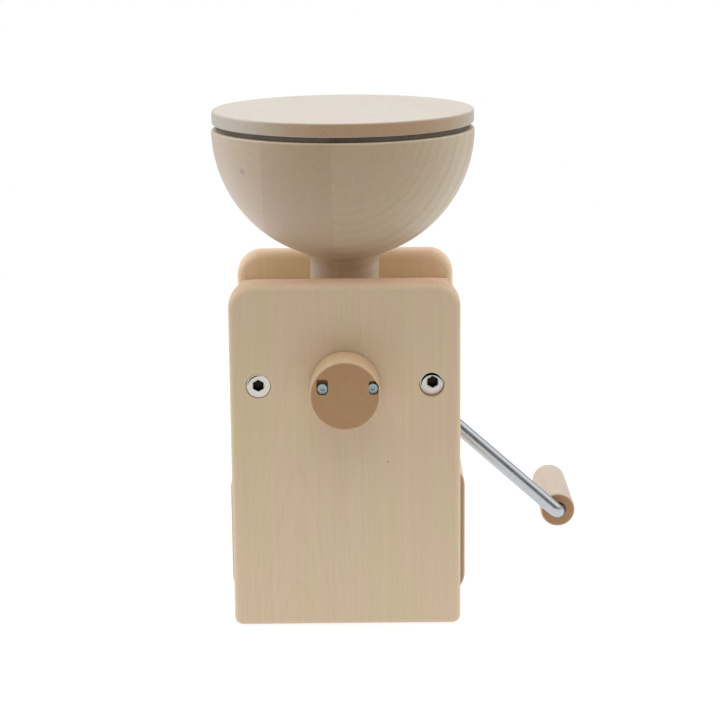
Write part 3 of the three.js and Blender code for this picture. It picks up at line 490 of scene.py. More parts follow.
beechLook = {
    "light": (0.905, 0.83, 0.73), "dark": (0.835, 0.75, 0.63),
    "endLight": (0.74, 0.64, 0.53), "endDark": (0.65, 0.55, 0.44), "endFrom": 0.35, "endFull": 1.0,
    "pink": (1, 0.955, 0.95), "olive": (0.975, 1, 0.94),
    "hueDepth": 1.0, "hueShift": 0.0, "hueFrom": 0.36, "hueFull": 0.64,
    "ringGap": 3.0, "ringDepth": 0.5, "lateFrom": 0.45, "plainCore": 1.0, "squash": 1.0,
    "taper": 0.03, "warp": 5.0, "streak": 0.6, "tone": 0.0, "yaw": 0.0,
    "flecks": 0.35, "fleckShare": 0.5, "fleck": (0.68, 0.58, 0.46), "marks": (), "markCore": 0.3,
    "seamInner": 0.08, "seamOuter": 0.3, "seamShare": 0.3,
    "roughness": 0.44, "toneRough": 0.1, "endRough": 0.12, "bump": 0.25, "bumpDepth": 0.12,
}
ownOfBlock = ("ringGap", "ringDepth", "plainCore", "lateFrom", "hueShift", "tone", "squash")


# Solid beech. Blocks glued side by side each have their own pith, rings and tone from a seam onwards;
# squash draws the rings in along the second axis.
def beech(name, grain, pith, blocks=(), **changes):
    look = {**beechLook, **changes}
    material, tree, shader = newMaterial(name)
    spot, place, facing = grainPlace(tree, grain, look["yaw"])
    across = put(tree, "SeparateXYZ", {0: place}).outputs[0]
    centre, seam = (*pith, 0), None
    own = dict(look)
    for block in blocks:
        past = calc(tree, "GREATER_THAN", across, block["seam"])
        feeds = {0: past, 4: centre, 5: (*block["pith"], 0)}
        centre = put(tree, "Mix", feeds, data_type="VECTOR").outputs[1]
        for key in ownOfBlock:
            own[key] = choose(tree, past, own[key], block.get(key, look[key]))
        near = calc(tree, "ABSOLUTE", calc(tree, "SUBTRACT", across, block["seam"]))
        line = remap(tree, near, look["seamInner"], look["seamOuter"], 1, 0)
        seam = line if seam is None else calc(tree, "MAXIMUM", seam, line)
    flatten = put(tree, "CombineXYZ", {0: 1.0, 1: own["squash"], 2: 1.0}).outputs[0]
    place = vector(tree, "MULTIPLY", vector(tree, "SUBTRACT", place, centre), flatten)
    feeds = {"place": place, **{key: own[key] for key in figureTakes}}
    figure = put(tree, "Group", feeds, node_tree=woodFigure).outputs
    share = calc(tree, "ADD", figure["tone"], own["tone"], clamp=True)
    end = remap(tree, facing, look["endFrom"], look["endFull"])
    side = mixed(tree, share, colour(*look["light"]), colour(*look["dark"]))
    fleck = times(tree, figure["fleck"], look["fleckShare"])
    side = mixed(tree, fleck, side, colour(*look["fleck"]))
    ends = mixed(tree, share, colour(*look["endLight"]), colour(*look["endDark"]))
    wood = mixed(tree, end, side, ends)
    hue = remap(tree, figure["hue"], look["hueFrom"], look["hueFull"])
    hue = mixed(tree, hue, (*look["pink"], 1), (*look["olive"], 1))
    wood = mixed(tree, look["hueDepth"], wood, hue, "MULTIPLY")
    if seam is not None:
        glue = times(tree, seam, look["seamShare"])
        wood = mixed(tree, glue, wood, colour(*look["endDark"]))
    for mark in look["marks"]:
        far = vector(tree, "DISTANCE", spot, tuple(np.array(mark["place"]) * mm))
        radius = mark["radius"] * mm
        dot = remap(tree, far, radius * look["markCore"], radius, mark["depth"], 0)
        wood = mixed(tree, dot, wood, colour(*mark["colour"]))
    rough = times(tree, share, look["toneRough"], look["roughness"] - look["toneRough"] / 2)
    rough = times(tree, end, look["endRough"], rough)
    feed(tree, shader.inputs, {"Base Color": wood, "Roughness": rough})
    bump(tree, shader, figure["relief"], look["bump"], look["bumpDepth"])
    return material


def metal(name, tint, roughness, scratches=1.0, relief=0.1, spread=0.06):
    material, tree, shader = newMaterial(name)
    feeds = {"place": objectPlace(tree), "scratches": scratches}
    skin = put(tree, "Group", feeds, node_tree=metalSkin).outputs
    darker = tuple(value * (1 - spread) for value in tint)
    tone = mixed(tree, skin["tone"], colour(*darker), colour(*tint))
    rough = calc(tree, "ADD", skin["rough"], roughness, clamp=True)
    feed(tree, shader.inputs, {"Base Color": tone, "Roughness": rough})
    shader.inputs["Metallic"].default_value = 1.0
    bump(tree, shader, skin["relief"], skinLook["bump"], relief)
    return material


speckLook = {
    "cloudSize": 25.0, "cloud": 0.4, "from": 0.35, "full": 0.65, "rough": 0.15, "lift": 0.07, "bump": 0.4,
}


# Dull stuff with a fine speckle, such as rubber or a stone's grit
def speckled(name, light, dark, roughness, size, depth, specular=0.3):
    look = speckLook
    material, tree, shader = newMaterial(name)
    place = objectPlace(tree)
    grit = noise(tree, place, (1 / size,) * 3, 3, 0.7)
    cloud = noise(tree, place, (1 / look["cloudSize"],) * 3)
    both = times(tree, grit, 1 - look["cloud"])
    both = times(tree, cloud, look["cloud"], both)
    share = remap(tree, both, look["from"], look["full"])
    rough = times(tree, grit, look["rough"], roughness - look["lift"])
    tone = mixed(tree, share, colour(*light), colour(*dark))
    feed(tree, shader.inputs, {"Base Color": tone, "Roughness": rough})
    shader.inputs["Specular IOR Level"].default_value = specular
    bump(tree, shader, grit, look["bump"], depth)
    return material


frontBeech = beech(
    "beechFrontBoard", "z", (-32, -34),
    ringGap=2.7, ringDepth=0.3, lateFrom=0.6, taper=0.072, hueDepth=0.9, hueShift=-0.03, streak=0.55,
    light=(0.88, 0.80, 0.692), dark=(0.81, 0.72, 0.593),
    # End grain painted lighter than plain end grain: partly its own colour, partly painted light on the top
    # edge under the hopper
    endLight=(0.855, 0.73, 0.62), endDark=(0.765, 0.63, 0.515),
    pink=(1, 0.965, 0.985), olive=(0.975, 0.99, 0.93),
    marks=[{"place": (28.3, -69, 115), "radius": 1.3, "depth": 0.4, "colour": (0.50, 0.40, 0.28)}],
)
# The back board is the same beech painted lighter than the front board, as painted light for its inner face
# and top, which lie in shade under the hopper
backBeechPaintedLight = beech(
    "beechBackBoardPaintedLight", "z", (22, 150),
    ringGap=3.2, ringDepth=0.35, taper=0.05,
    light=(0.975, 0.88, 0.76), dark=(0.915, 0.80, 0.665),
    endLight=(0.945, 0.83, 0.73), endDark=(0.875, 0.745, 0.635),
)
baseBeech = beech("beechBase", "x", (-60, 40), ringGap=2.8)
blockBeech = beech("beechBlock", "x", (-150, 30), ringGap=3.1, blocks=[
    {"seam": -190, "pith": (-260, -40), "ringGap": 2.6, "tone": 0.06},
    {"seam": -139, "pith": (-120, 70), "ringGap": 3.4, "tone": -0.04},
])
bowlStrips = [
    {"seam": -52.8, "pith": (400, -300), "ringGap": 2.3, "ringDepth": 0.2, "tone": 0.26, "hueShift": -0.09},
    {
        "seam": -7.2, "pith": (0, -356), "ringGap": 5.6, "ringDepth": 0.8, "plainCore": 80,
        "lateFrom": 0.2, "squash": 0.8, "tone": 0.02, "hueShift": 0.12,
    },
]
bowlBeech = beech(
    "beechBowl", "y", (-60, -900), bowlStrips,
    ringGap=6.0, ringDepth=0.25, hueShift=-0.1,
    light=(0.825, 0.77, 0.71), dark=(0.76, 0.695, 0.62),
    endLight=(0.785, 0.70, 0.61), endDark=(0.69, 0.60, 0.505),
    pink=(1, 0.965, 0.975), olive=(0.985, 0.99, 0.915),
    marks=[{"place": (-66.3, -56.4, 309.7), "radius": 3.4, "depth": 0.4, "colour": (0.50, 0.42, 0.35)}],
)
# The lid's side colours are paler and greyer than the boards': partly its own wood tone, partly painted
# sheen for light reflected at grazing angles
lidBeechToneAndSheen = beech(
    "beechLidToneAndSheen", "y", (40, -420),
    ringGap=3.0, ringDepth=0.3, yaw=16,
    light=(0.79, 0.765, 0.735), dark=(0.735, 0.70, 0.66),
    endLight=(0.75, 0.63, 0.52), endDark=(0.66, 0.54, 0.43),
)
# The knob's beech is painted darker: painted shade for the hopper's shadow over its top
knobBeechShaded = beech(
    "beechKnobShaded", "y", (4, -172),
    ringGap=1.6, ringDepth=0.4, endFrom=0.8,
    light=(0.81, 0.71, 0.585), dark=(0.745, 0.635, 0.505),
    endLight=(0.73, 0.58, 0.43), endDark=(0.64, 0.49, 0.355),
)
gripBeech = beech(
    "beechGrip", "y", (150, -40),
    ringGap=2.2, ringDepth=0.4, endFrom=0.8,
    light=(0.78, 0.73, 0.68), dark=(0.725, 0.665, 0.60),
    endLight=(0.715, 0.545, 0.41), endDark=(0.625, 0.46, 0.32),
)
drawerPaint = {"light": (0.895, 0.83, 0.76), "dark": (0.825, 0.755, 0.665)}
drawerBeech = beech("beechDrawer", "y", (-20, -160), ringGap=2.9, ringDepth=0.5, **drawerPaint)
sideBeech = beech("beechDrawerSide", "x", (-60, 70), ringGap=2.8, ringDepth=0.4, **drawerPaint)
dowelBeech = beech("beechDowel", "y", (0, -60), ringGap=2.0)
brightZinc = metal("zincPlated", (0.93, 0.915, 0.89), 0.42, 0.6)
rodZinc = metal("rodPlating", (0.75, 0.765, 0.785), 0.26, 0.5, relief=0.03)
hubZinc = metal("hubZinc", (0.80, 0.80, 0.785), 0.36, 0.6)
blueZinc = metal("blueZinc", (0.72, 0.80, 0.83), 0.5, 0.6)
# Near-black metal that paints shade into screw sockets and the gaps round their heads
socketPaintedShade = metal("socketPaintedShade", (0.16, 0.155, 0.15), 0.4)
turnedSteel = metal("turnedSteel", (0.74, 0.75, 0.76), 0.32)
bushBrass = metal("bushBrass", (0.80, 0.66, 0.40), 0.34)
footRubber = speckled("footRubber", (0.19, 0.185, 0.18), (0.13, 0.13, 0.13), 0.85, 0.4, 0.05)
sealRubber = speckled("sealRubber", (0.54, 0.505, 0.465), (0.41, 0.38, 0.345), 0.75, 0.9, 0.08)
millStone = speckled("millStone", (0.86, 0.85, 0.82), (0.68, 0.66, 0.62), 0.95, 0.7, 0.35, 0.2)
print("materials ready")

shaftAxis = axisOf("main_shaft") * (0, 0, 1)
boardLook = {
    "topRound": 17.5, "bottomRound": 5.5, "steps": 12, "edge": 4.0, "topEdge": 7.0, "edgeSteps": 8,
}
boreLook = {
    "counterbore": 8.35, "shank": 4.3, "ease": 0.35, "dowel": 3.3, "dowelRoom": 1.0,
    "bush": 12.6, "recess": 43.5, "recessDepth": 5.0, "rearBush": 10.3,
}


# The bore for the end of a dowel that points this way, with a little room behind it
def dowelCutter(corner, way, face):
    node = "base_dowel_" + corner
    floor = endOf(node, way) + way * boreLook["dowelRoom"]
    return boreCutter(axisOf(node), boreLook["dowel"], floor, face)


# A board with its screw, dowel and bush bores; out is -1 for the front board and 1 for the back one.
# Its edge grows over the height s of the top corners by 3 s^2 - 2 s^3.
def makeBoard(name, node, out, paint):
    look = boardLook
    low, high = nodeBox(node)
    flat = [(high[0], low[2]), (high[0], high[2]), (low[0], high[2]), (low[0], low[2])]
    radii = [look["bottomRound"], look["topRound"], look["topRound"], look["bottomRound"]]
    outline = roundCorners(flat, radii, look["steps"])
    rise = np.clip((outline[0][:, 1] - high[2]) / look["topRound"] + 1, 0, 1)
    edge = look["edge"] + (look["topEdge"] - look["edge"]) * rise**2 * (3 - 2 * rise)
    board = slab(name, outline, low[1], high[1], edge, look["edgeSteps"])
    look, face, inner = boreLook, endOf(node, out), endOf(node, -out)
    cutters = []
    for corner in [corner for corner, way in corners.items() if way == out]:
        screw, floor = axisOf("body_screw_" + corner), endOf("body_washer_" + corner, -out)
        cutters += [
            boreCutter(screw, look["counterbore"], floor, face, look["ease"]),
            boreCutter(screw, look["shank"], floor + out * overlap, inner),
            dowelCutter(corner, out, inner),
        ]
    if out < 0:
        recess = inner - look["recessDepth"]
        cutters += [
            boreCutter(shaftAxis, look["recess"], recess, inner, sides=128),
            boreCutter(shaftAxis, look["bush"], recess + overlap, face),
        ]
    else:
        cutters.append(boreCutter(shaftAxis, look["rearBush"], inner - overlap, face, look["ease"]))
    settle(carve(board, cutters), node, paint)


baseLook = {"edge": 0.8, "steps": 4, "padRoom": 0.3, "padEase": 0.4}


# The base board, bored from its ends for the dowels and from below for the rubber pads
def makeBase():
    look = baseLook
    low, high = nodeBox("base_board")
    flat = rectangle(low[0], high[0], low[2], high[2])
    base = slab("baseBoard", roundCorners(flat, look["edge"], look["steps"]), low[1], high[1], 0)
    cutters = []
    for corner, out in corners.items():
        pad = "rubber_pad_" + corner
        radius, roof = radiusOf(pad) + look["padRoom"], nodeBox(pad)[1][2] + look["padRoom"]
        cutters += [
            boreCutter(nodeMiddle(pad) * (1, 1, 0), radius, roof, low[2], look["padEase"], "z"),
            dowelCutter(corner, -out, endOf("base_board", out)),
        ]
    settle(carve(base, cutters), "base_board", baseBeech)


makeBoard("frontBoard", "front_board", -1, frontBeech)
makeBoard("backBoard", "back_board", 1, backBeechPaintedLight)
makeBase()
settle(easedCopy("mill_block", copyLook["block"]), "mill_block", blockBeech)
print("body ready")

capLook = {"underEdge": 0.3, "neckEdge": 0.3, "tipEdge": 0.6, "steps": 6, "dishRoom": 0.06}
screwLook = {
    "head": 8.15, "headLength": 8.0, "edge": 0.45, "shank": 4.0, "hex": 7.1, "hexDepth": 5.0, "dish": 0.35,
    "cup": 7.2, "gapDepth": 3.0, "gapSteps": 48, "shadeFrom": 0.45, "shadeTo": 7.5, "shadeWithin": 7.3,
    "seats": {
        "front_left": {"core": 8.64, "shift": (1.19, -1.9), "hexShift": (0.0, 0.1)},
        "front_right": {"core": 7.1, "shift": (0.28, -1.6), "hexShift": (0.6, 0.9)},
        "back_left": {"core": 8.3, "shift": (0.9, -1.4), "hexShift": (0, 0)},
        "back_right": {"core": 8.3, "shift": (-0.8, -1.4), "hexShift": (0, 0)},
    },
}
washerLook = {"edges": 0.3, "steps": 3}


# The crescent of the cup that its round core, shifted off the cup's middle, leaves open. With u along the
# shift d, the two circles meet at a * u +- h * v, where a = (d^2 + cup^2 - core^2) / 2d, h^2 = cup^2 - a^2
def gapCutter(spot, face, out, look, seat):
    shift, core, cup = np.array(seat["shift"]), seat["core"], look["cup"]
    way, distance = np.degrees(np.arctan2(shift[1], shift[0])), np.hypot(*shift)
    along = (distance**2 + cup**2 - core**2) / (2 * distance)
    outer = np.degrees(np.arccos(along / cup))
    inner = np.degrees(np.arccos((along - distance) / core))
    flat = np.vstack([
        arc((0, 0), cup, way + outer, way + 360 - outer, look["gapSteps"]),
        arc(shift, core, way + 360 - inner, way + inner, look["gapSteps"])[1:-1],
    ]) + spot[[0, 2]]
    low, high = sorted((face - out * look["gapDepth"], face + out * overrun))
    return slab("cutter", (flat, np.zeros_like(flat)), low, high, 0)


# Faces of a head that lie deeper than its rim, in the socket and the gap, get a near-black metal as painted
# shade for these shadowed hollows
def darkenInside(piece, centre, face, out, look):
    middles = np.empty(len(piece.data.polygons) * 3, np.float32)
    piece.data.polygons.foreach_get("center", middles)
    middles = middles.reshape(-1, 3) / mm
    aside = np.hypot(middles[:, 0] - centre[0], middles[:, 2] - centre[2])
    deep = (face - middles[:, 1]) * out
    inside = (deep > look["shadeFrom"]) & (deep < look["shadeTo"]) & (aside < look["shadeWithin"])
    piece.data.materials.append(socketPaintedShade)
    piece.data.polygons.foreach_set("material_index", inside.astype(np.int32))


# A cap screw: its profile runs from the head's face along the shank; out is -1 for a head towards -Y
def makeCapScrew(node, paint, look, out, seat=None):
    face, tip = endOf(node, out), endOf(node, -out)
    head, shank, under = look["head"], look["shank"], face - out * look["headLength"]
    pairs = [(0, face), (head, face), (head, under), (shank, under), (shank, tip), (0, tip)]
    edges = [0, look["edge"], capLook["underEdge"], capLook["neckEdge"], capLook["tipEdge"], 0]
    spot = axisOf(node)
    screw = turned(node + "_turned", pairs, spot, edges=edges, steps=capLook["steps"])
    hexSpot, cutters = spot, []
    if seat:
        cutters.append(gapCutter(spot, face, out, look, seat))
        hexSpot = spot + (seat["hexShift"][0], 0, seat["hexShift"][1])
    mouth = look["hex"] / 3**0.5 + capLook["dishRoom"]
    cutters += [
        hexCutter(hexSpot, look["hex"], face - out * look["hexDepth"], face),
        dishCutter(hexSpot, mouth, look["dish"], face, out),
    ]
    settle(carve(screw, cutters), node, paint)
    if seat:
        darkenInside(screw, spot, face, out, look)


def makeWasher(name, node, bore, paint):
    pairs = rectangle(bore, radiusOf(node), endOf(node, -1), endOf(node, 1))
    settle(turned(name, pairs, axisOf(node), ring=True, **washerLook), node, paint)


for corner, out in corners.items():
    makeCapScrew("body_screw_" + corner, brightZinc, screwLook, out, screwLook["seats"][corner])
    node = "body_washer_" + corner
    makeWasher(node + "_turned", node, boreLook["shank"], brightZinc)
print("body screws ready")

hopperLook = {
    "wall": 8.0, "neck": 23.7, "fillet": 10.0, "filletSteps": 12, "tenon": 17.5, "throat": 12.5,
    "rimRound": 1.5, "rimSteps": 6, "footRise": 2.0, "footEdge": 0.4, "footSteps": 3, "steps": 40,
}


# The bowl's outside is a sphere round the rim's centre; a concave arc leads it into the neck
def makeHopper():
    look = hopperLook
    low, high = nodeBox("hopper_bowl")
    outer, bottom, rim, blockTop = radiusOf("hopper_bowl"), low[2], high[2], nodeBox("mill_block")[1][2]
    inner, rounding, steps = outer - look["wall"], look["rimRound"], look["steps"]
    tenon, neck = look["tenon"], look["neck"]
    filletX = neck + look["fillet"]
    filletZ = rim - np.sqrt((outer + look["fillet"]) ** 2 - filletX**2)
    meet = np.degrees(np.arctan2(rim - filletZ, -filletX))
    start = np.degrees(np.arctan2(filletZ - rim, filletX))
    lip = -np.degrees(np.arcsin(rounding / outer))
    innerLip = -np.degrees(np.arcsin(rounding / inner))
    throat = -np.degrees(np.arccos(look["throat"] / inner))
    foot = [(tenon, bottom), (tenon, blockTop), (neck, blockTop), (neck, blockTop + look["footRise"])]
    foot, _ = roundCorners(foot, [0, 0, look["footEdge"], 0], look["footSteps"], closed=False)
    profile = np.vstack([
        [(look["throat"], bottom)],
        foot,
        arc((filletX, filletZ), look["fillet"], 180, meet, look["filletSteps"]),
        arc((0, rim), outer, start, lip, steps)[1:],
        arc((outer - rounding, rim - rounding), rounding, 0, 90, look["rimSteps"])[1:],
        arc((inner + rounding, rim - rounding), rounding, 90, 180, look["rimSteps"]),
        arc((0, rim), inner, innerLip, throat, steps)[1:],
    ])
    bowl = turned("hopperBowl", profile, axis="z", sides=192, ring=True)
    settle(bowl, "hopper_bowl", bowlBeech)


lidLook = {
    "edge": 1.6, "spigot": 79.0, "spigotEdge": 1.0, "seatEdge": 0.3, "steps": 8,
    "sealRoom": 0.3, "sealEdge": 0.7, "sealInnerEdge": 0.2, "sealSteps": 5,
}


# The lid is a disc with a low spigot, and the seal lies round the spigot
def makeLid():
    look = lidLook
    bottom, top = nodeBox("lid")[0][2], nodeBox("lid")[1][2]
    ringBottom, seat = nodeBox("lid_seal")[0][2], nodeBox("lid_seal")[1][2]
    outer, spigot = radiusOf("lid"), look["spigot"]
    pairs = [(0, bottom), (spigot, bottom), (spigot, seat), (outer, seat), (outer, top), (0, top)]
    edges = [0, look["spigotEdge"], look["seatEdge"], look["edge"], look["edge"], 0]
    lid = turned("lidDisc", pairs, axis="z", sides=192, edges=edges, steps=look["steps"])
    settle(lid, "lid", lidBeechToneAndSheen)
    pairs = rectangle(spigot + look["sealRoom"], radiusOf("lid_seal"), ringBottom, seat)
    edges = [look["sealInnerEdge"], look["sealEdge"], look["sealEdge"], look["sealInnerEdge"]]
    seal = turned("lidSeal", pairs, axis="z", sides=160, ring=True, edges=edges, steps=look["sealSteps"])
    settle(seal, "lid_seal", sealRubber)


makeHopper()
makeLid()
print("hopper and lid ready")

knobLook = {
    "frontRound": 2.2, "backRound": 0.6, "steps": 8, "plateBore": 22.3, "plateRoom": 3.3, "shankBore": 2.3,
    "slotRounds": {"left": [3.4, 3.4, 1.7, 1.7], "right": [2.4, 3.0, 1.2, 1.2, 1.7]},
    "slots": {
        "left": rectangle(-3.75, 3.75, -3.9, 7.2),
        "right": [(-2.6, -3.9), (3.8, -3.9), (3.8, 2.6), (1.7, 5.8), (-2.6, 5.8)],
    },
}
knobScrewLook = {
    "head": 3.6, "headLength": 3.0, "edge": 0.5, "shank": 2.0, "hex": 2.0, "hexDepth": 1.0, "dish": 0.2,
}


# The knob, bored behind for the spindle's plate, with a slot in front over each screw
def makeKnob():
    look = knobLook
    low, high = nodeBox("adjusting_knob")
    centre = nodeMiddle("adjusting_knob") * (0, 0, 1)
    pairs = rectangle(0, radiusOf("adjusting_knob"), low[1], high[1])
    edges = [0, look["frontRound"], look["backRound"], 0]
    knob = turned("adjustingKnob", pairs, centre, sides=160, edges=edges, steps=look["steps"])
    cutters = [boreCutter(centre, look["plateBore"], high[1] - look["plateRoom"], high[1], sides=96)]
    for side in ("left", "right"):
        node = "knob_screw_" + side
        spot, seat = axisOf(node), endOf(node, -1) + knobScrewLook["headLength"]
        outline = roundCorners(np.array(look["slots"][side]) + spot[[0, 2]], look["slotRounds"][side])
        cutters += [
            slab("cutter", outline, low[1] - overrun, seat, 0),
            boreCutter(spot, look["shankBore"], seat - overlap, high[1]),
        ]
    settle(carve(knob, cutters), "adjusting_knob", knobBeechShaded)
    for side in ("left", "right"):
        makeCapScrew("knob_screw_" + side, blueZinc, knobScrewLook, -1)


makeKnob()
print("knob ready")

hubLook = {
    "radius": 13.0, "edge": 1.0, "steps": 6, "shaftBore": 6.3, "rodBore": 5.8, "step": 82.5,
    "stepOverlap": 0.3, "ease": 0.4, "setBore": 2.8, "setFrom": 2.0, "setPast": 3.0,
}
rodLook = {
    "radius": 5.5, "start": 83.0, "straight": 0.5, "hubBend": 10.5, "gripBend": 6.2, "gripNearGap": 0.3,
    "steps": 24, "sides": 64, "endEdge": 0.5, "tap": 3.3, "tapDepth": 14.0,
}
gripLook = {
    "bore": 6.15, "boreEdge": 0.5, "recess": 9.8, "recessDepth": 8.0, "recessEdge": 0.3,
    "nearRound": 1.8, "farRound": 1.6, "steps": 8, "washerBore": 3.3,
}
gripScrewLook = {
    "head": 5.0, "headLength": 3.2, "edge": 1.2, "shank": 3.0, "hex": 4.0, "hexDepth": 2.0, "dish": 0.25,
}

gripAxis = axisOf("crank_grip")
armReach = np.linalg.norm(gripAxis - shaftAxis)
armWay = (gripAxis - shaftAxis) / armReach
armAcross = np.array([armWay[2], 0, -armWay[0]])


# The hub's two set screws stand square to the arm, away from it
def makeHub():
    look = hubLook
    low, high = nodeBox("crank_hub")
    pairs = rectangle(0, look["radius"], low[1], high[1])
    edges = [0, look["edge"], look["edge"], 0]
    hub = turned("crankHub", pairs, shaftAxis, edges=edges, steps=look["steps"])
    cutters = [
        boreCutter(shaftAxis, look["shaftBore"], look["step"], low[1], look["ease"]),
        boreCutter(shaftAxis, look["rodBore"], look["step"] - look["stepOverlap"], high[1], look["ease"]),
    ]
    reach = np.array([[look["setFrom"]], [look["radius"] + look["setPast"]]])
    for index in (1, 2):
        place = nodeMiddle("hub_set_screw_" + str(index))
        start = shaftAxis + place * (0, 1, 0)
        outward = (place - start) / np.linalg.norm(place - start)
        cutters.append(swept("cutter", start + outward * reach, [look["setBore"]] * 2, (0, 1, 0), sides=32))
    settle(carve(hub, cutters), "crank_hub", hubZinc)


# The rod: straight out of the hub, a quarter bend into the arm, and a quarter bend back into the grip
def makeRod():
    look = rodLook
    start, end, straight = look["start"], endOf("crank_rod", 1), look["straight"]
    hubBend, gripBend, steps = look["hubBend"], look["gripBend"], look["steps"]
    plane = endOf("crank_grip", -1) - look["gripNearGap"] - gripBend
    flat = np.vstack([
        [(0, start), (0, start + straight)],
        arc((hubBend, plane - hubBend), hubBend, 180, 90, steps),
        arc((armReach - gripBend, plane + gripBend), gripBend, -90, 0, steps),
        [(armReach, end - straight), (armReach, end)],
    ])
    path = shaftAxis + flat[:, :1] * armWay + flat[:, 1:] * (0, 1, 0)
    radii = np.full(len(path), look["radius"])
    radii[[0, -1]] -= look["endEdge"]
    rod = swept("crankRod", path, radii, armAcross, look["sides"])
    tap = boreCutter(gripAxis, look["tap"], end - look["tapDepth"], end)
    settle(carve(rod, [tap]), "crank_rod", rodZinc)


# The grip, bored through and recessed at its far end for the washer and the screw
def makeGrip():
    look = gripLook
    near, far, radius = endOf("crank_grip", -1), endOf("crank_grip", 1), radiusOf("crank_grip")
    bore, recess, floor = look["bore"], look["recess"], far - look["recessDepth"]
    pairs = [(bore, near), (radius, near), (radius, far), (recess, far), (recess, floor), (bore, floor)]
    inside = look["recessEdge"]
    edges = [look["boreEdge"], look["nearRound"], look["farRound"], inside, 0, inside]
    grip = turned("crankGrip", pairs, gripAxis, sides=128, ring=True, edges=edges, steps=look["steps"])
    settle(grip, "crank_grip", gripBeech)
    makeWasher("gripWasher", "grip_washer", look["washerBore"], hubZinc)
    makeCapScrew("grip_screw", hubZinc, gripScrewLook, 1)


makeHub()
makeRod()
makeGrip()
print("crank ready")

drawerLook = {
    "cornerRound": 17.0, "edge": 2.0, "steps": 14, "groove": 4.3, "grooveRoom": 0.3, "groovePast": 5.0,
}


# A drawer end: a block whose outer corners are round, grooved for the bottom panel
def makeDrawerEnd(side):
    look, node, out = drawerLook, "drawer_" + side + "_end", 1 if side == "right" else -1
    low, high = nodeBox(node)
    outer, inner = (high[0], low[0]) if out > 0 else (low[0], high[0])
    flat = rectangle(inner, outer, low[2], high[2])[::out]
    outline = roundCorners(flat, [0, look["cornerRound"], look["cornerRound"], 0], look["steps"])
    end = slab("drawer" + side.capitalize() + "End", outline, low[1], high[1], look["edge"])
    panelLow, panelHigh = nodeBox("drawer_bottom")
    room = look["grooveRoom"]
    across = sorted((inner + out * look["groove"], inner - out * look["groovePast"]))
    hole = rectangle(*across, panelLow[2], panelHigh[2] + room)
    cutter = slab("cutter", roundCorners(hole, 0), panelLow[1] - room, panelHigh[1] + room, 0)
    settle(carve(end, [cutter]), node, drawerBeech)


for side in ("left", "right"):
    makeDrawerEnd(side)
for side in ("front", "back"):
    node = "drawer_" + side + "_side"
    settle(easedCopy(node, copyLook["side"]), node, sideBeech)
settle(easedCopy("drawer_bottom", copyLook["panel"]), "drawer_bottom", sideBeech)
for corner in corners:
    node = "rubber_pad_" + corner
    settle(easedCopy(node, copyLook["pad"]), node, footRubber)
print("drawer and feet ready")

inside = [
    (turnedSteel, ["main_shaft", "adjusting_spindle", "thrust_ball", "shaft_collar", "return_spring"]),
    (turnedSteel, ["stone_carrier", "feed_auger", "feed_sleeve", "fixed_stone_plate"]),
    (turnedSteel, ["hub_set_screw_1", "hub_set_screw_2"]),
    (bushBrass, ["rear_bush", "threaded_bush", "inner_bush"]),
    (bushBrass, ["threaded_insert_" + corner for corner in corners]),
    (brightZinc, ["plate_screw_" + str(index) for index in (1, 2, 3)]),
    (millStone, ["running_stone", "fixed_stone"]),
    (dowelBeech, ["base_dowel_" + corner for corner in corners]),
]
for paint, nodes in inside:
    for node in nodes:
        mesh = frame["nodes"][node].data
        mesh.materials.clear()
        mesh.materials.append(paint)

cameraLook = {
    "place": (10.09, -1448.9, 504.24), "focalPixels": 2134.47, "framePixels": 720,
    "pitch": 13.01, "roll": -0.557, "sensor": 36, "clip": (0.05, 50),
}


def makeCamera():
    look = cameraLook
    pitch, roll = np.radians(look["pitch"]), np.radians(look["roll"])
    ahead = np.array([0, np.cos(pitch), -np.sin(pitch)])
    right, up = np.array([1.0, 0, 0]), np.array([0, np.sin(pitch), np.cos(pitch)])
    right, up = np.cos(roll) * right + np.sin(roll) * up, np.cos(roll) * up - np.sin(roll) * right
    data = bpy.data.cameras.new("photoView")
    data.sensor_width = look["sensor"]
    data.lens = look["sensor"] * look["focalPixels"] / look["framePixels"]
    data.clip_start, data.clip_end = look["clip"]
    camera = newObject("photoView", data)
    place = np.eye(4)
    place[:3, 0], place[:3, 1], place[:3, 2] = right, up, -ahead
    place[:3, 3] = np.array(look["place"]) * mm
    camera.matrix_world = Matrix(place.tolist())
    bpy.context.scene.camera = camera


studioLook = {
    "frontGlow": (0.25, 0.236, 0.208), "backGlow": (1.05, 1.05, 1.05), "backFrom": -0.5, "backFull": 0.2,
    "mirrorShare": 0.63, "dimWay": (0.31, -0.92, 0.24), "dimFrom": 0.78, "dimFull": 0.93, "dimShare": 0.85,
    "lamps": [
        {"name": "left", "place": (-1.6, -0.1, 1.3), "size": 1.8, "power": 11, "tint": (0.97, 0.99, 1)},
        {"name": "right", "place": (1.6, -0.1, 1.3), "size": 1.8, "power": 8, "tint": (1, 1, 1)},
        {"name": "top", "place": (0, 0.25, 2.1), "size": 1.8, "power": 14, "tint": (1, 1, 1)},
        {"name": "front", "place": (0, -1.2, 2.1), "size": 1.6, "power": 12, "tint": (1, 0.97, 0.91)},
    ],
    "aim": (0, 0, 0.17),
    "floor": (0.95, 0.95, 0.95), "floorRough": 0.8, "floorHalf": 1.2, "floorDrop": 0.0006, "floorNear": 0.1,
    "floorSeen": 1.12, "floorGlow": 1.15, "floorFar": 0.2, "floorMirror": 1.15, "floorShare": 0.25,
}


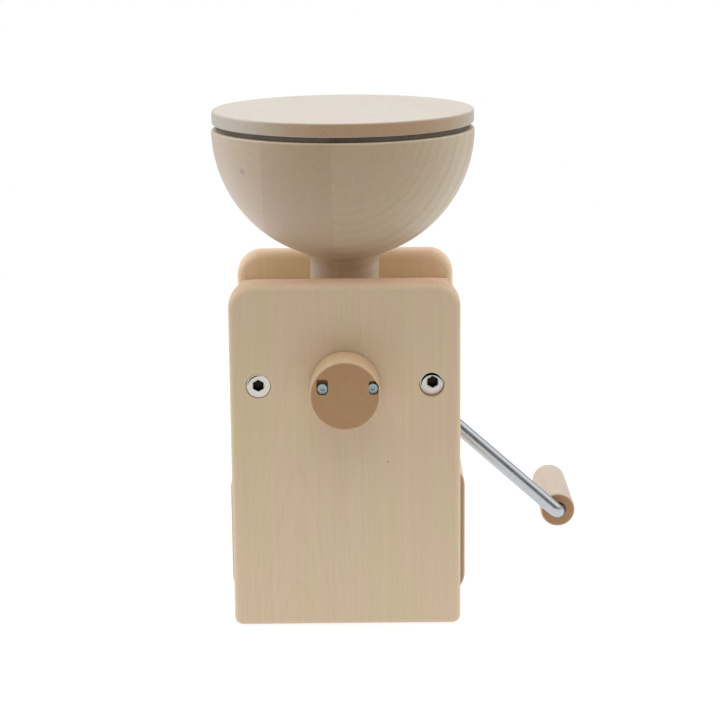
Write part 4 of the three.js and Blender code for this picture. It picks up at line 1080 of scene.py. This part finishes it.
# Soft light from both sides and above, a white floor and backdrop, and a dim room behind the camera
def makeStudio():
    look = studioLook
    scene = bpy.context.scene
    scene.view_settings.view_transform = "Standard"
    for lamp in look["lamps"]:
        name = lamp["name"] + "Softbox"
        data = bpy.data.lights.new(name, "AREA")
        data.shape = "SQUARE"
        data.size, data.energy, data.color = lamp["size"], lamp["power"], lamp["tint"]
        light = newObject(name, data)
        back = Vector(lamp["place"]) - Vector(look["aim"])
        light.rotation_euler = back.to_track_quat("Z", "Y").to_euler()
        light.location = lamp["place"]
    world = bpy.data.worlds.new("studio")
    scene.world = world
    world.use_nodes = True
    tree = world.node_tree
    tree.nodes.clear()
    way = put(tree, "TexCoord").outputs["Generated"]
    back = remap(tree, put(tree, "SeparateXYZ", {0: way}).outputs[1], look["backFrom"], look["backFull"])
    room = mixed(tree, back, (*look["frontGlow"], 1), (*look["backGlow"], 1))
    near = vector(tree, "DOT_PRODUCT", way, look["dimWay"])
    rays = put(tree, "LightPath").outputs
    mirror = remap(tree, near, look["dimFrom"], look["dimFull"], look["mirrorShare"], look["dimShare"])
    glow = choose(tree, rays["Is Glossy Ray"], 1.0, mirror)
    seen = calc(tree, "MAXIMUM", rays["Is Camera Ray"], rays["Is Transmission Ray"])
    strength = choose(tree, seen, glow, 1.0)
    tint = mixed(tree, seen, room, (1, 1, 1, 1))
    sky = put(tree, "Background", {"Color": tint, "Strength": strength}).outputs[0]
    put(tree, "OutputWorld", {0: sky})
    half = look["floorHalf"]
    mesh = bpy.data.meshes.new("floor")
    outline = rectangle(-half, half, -half, half)
    mesh.from_pydata([(x, y, -look["floorDrop"]) for x, y in outline], [], [(0, 1, 2, 3)])
    floor = newObject("floor", mesh)
    material, tree, shader = newMaterial("whiteFloor")
    shader.inputs["Base Color"].default_value = colour(*look["floor"])
    shader.inputs["Roughness"].default_value = look["floorRough"]
    far = vector(tree, "LENGTH", put(tree, "TexCoord").outputs["Object"])
    glow = remap(tree, far, look["floorNear"], half, look["floorGlow"], look["floorFar"])
    rays = put(tree, "LightPath").outputs
    glow = choose(tree, rays["Is Glossy Ray"], glow, look["floorMirror"])
    glow = choose(tree, rays["Is Camera Ray"], glow, look["floorSeen"])
    glow = put(tree, "Emission", {"Color": (1, 1, 1, 1), "Strength": glow}).outputs[0]
    both = put(tree, "MixShader", {0: 1 - look["floorShare"], 1: shader.outputs[0], 2: glow}).outputs[0]
    feed(tree, tree.nodes["Material Output"].inputs, {0: both})
    mesh.materials.append(material)


makeCamera()
makeStudio()
print("studio ready")
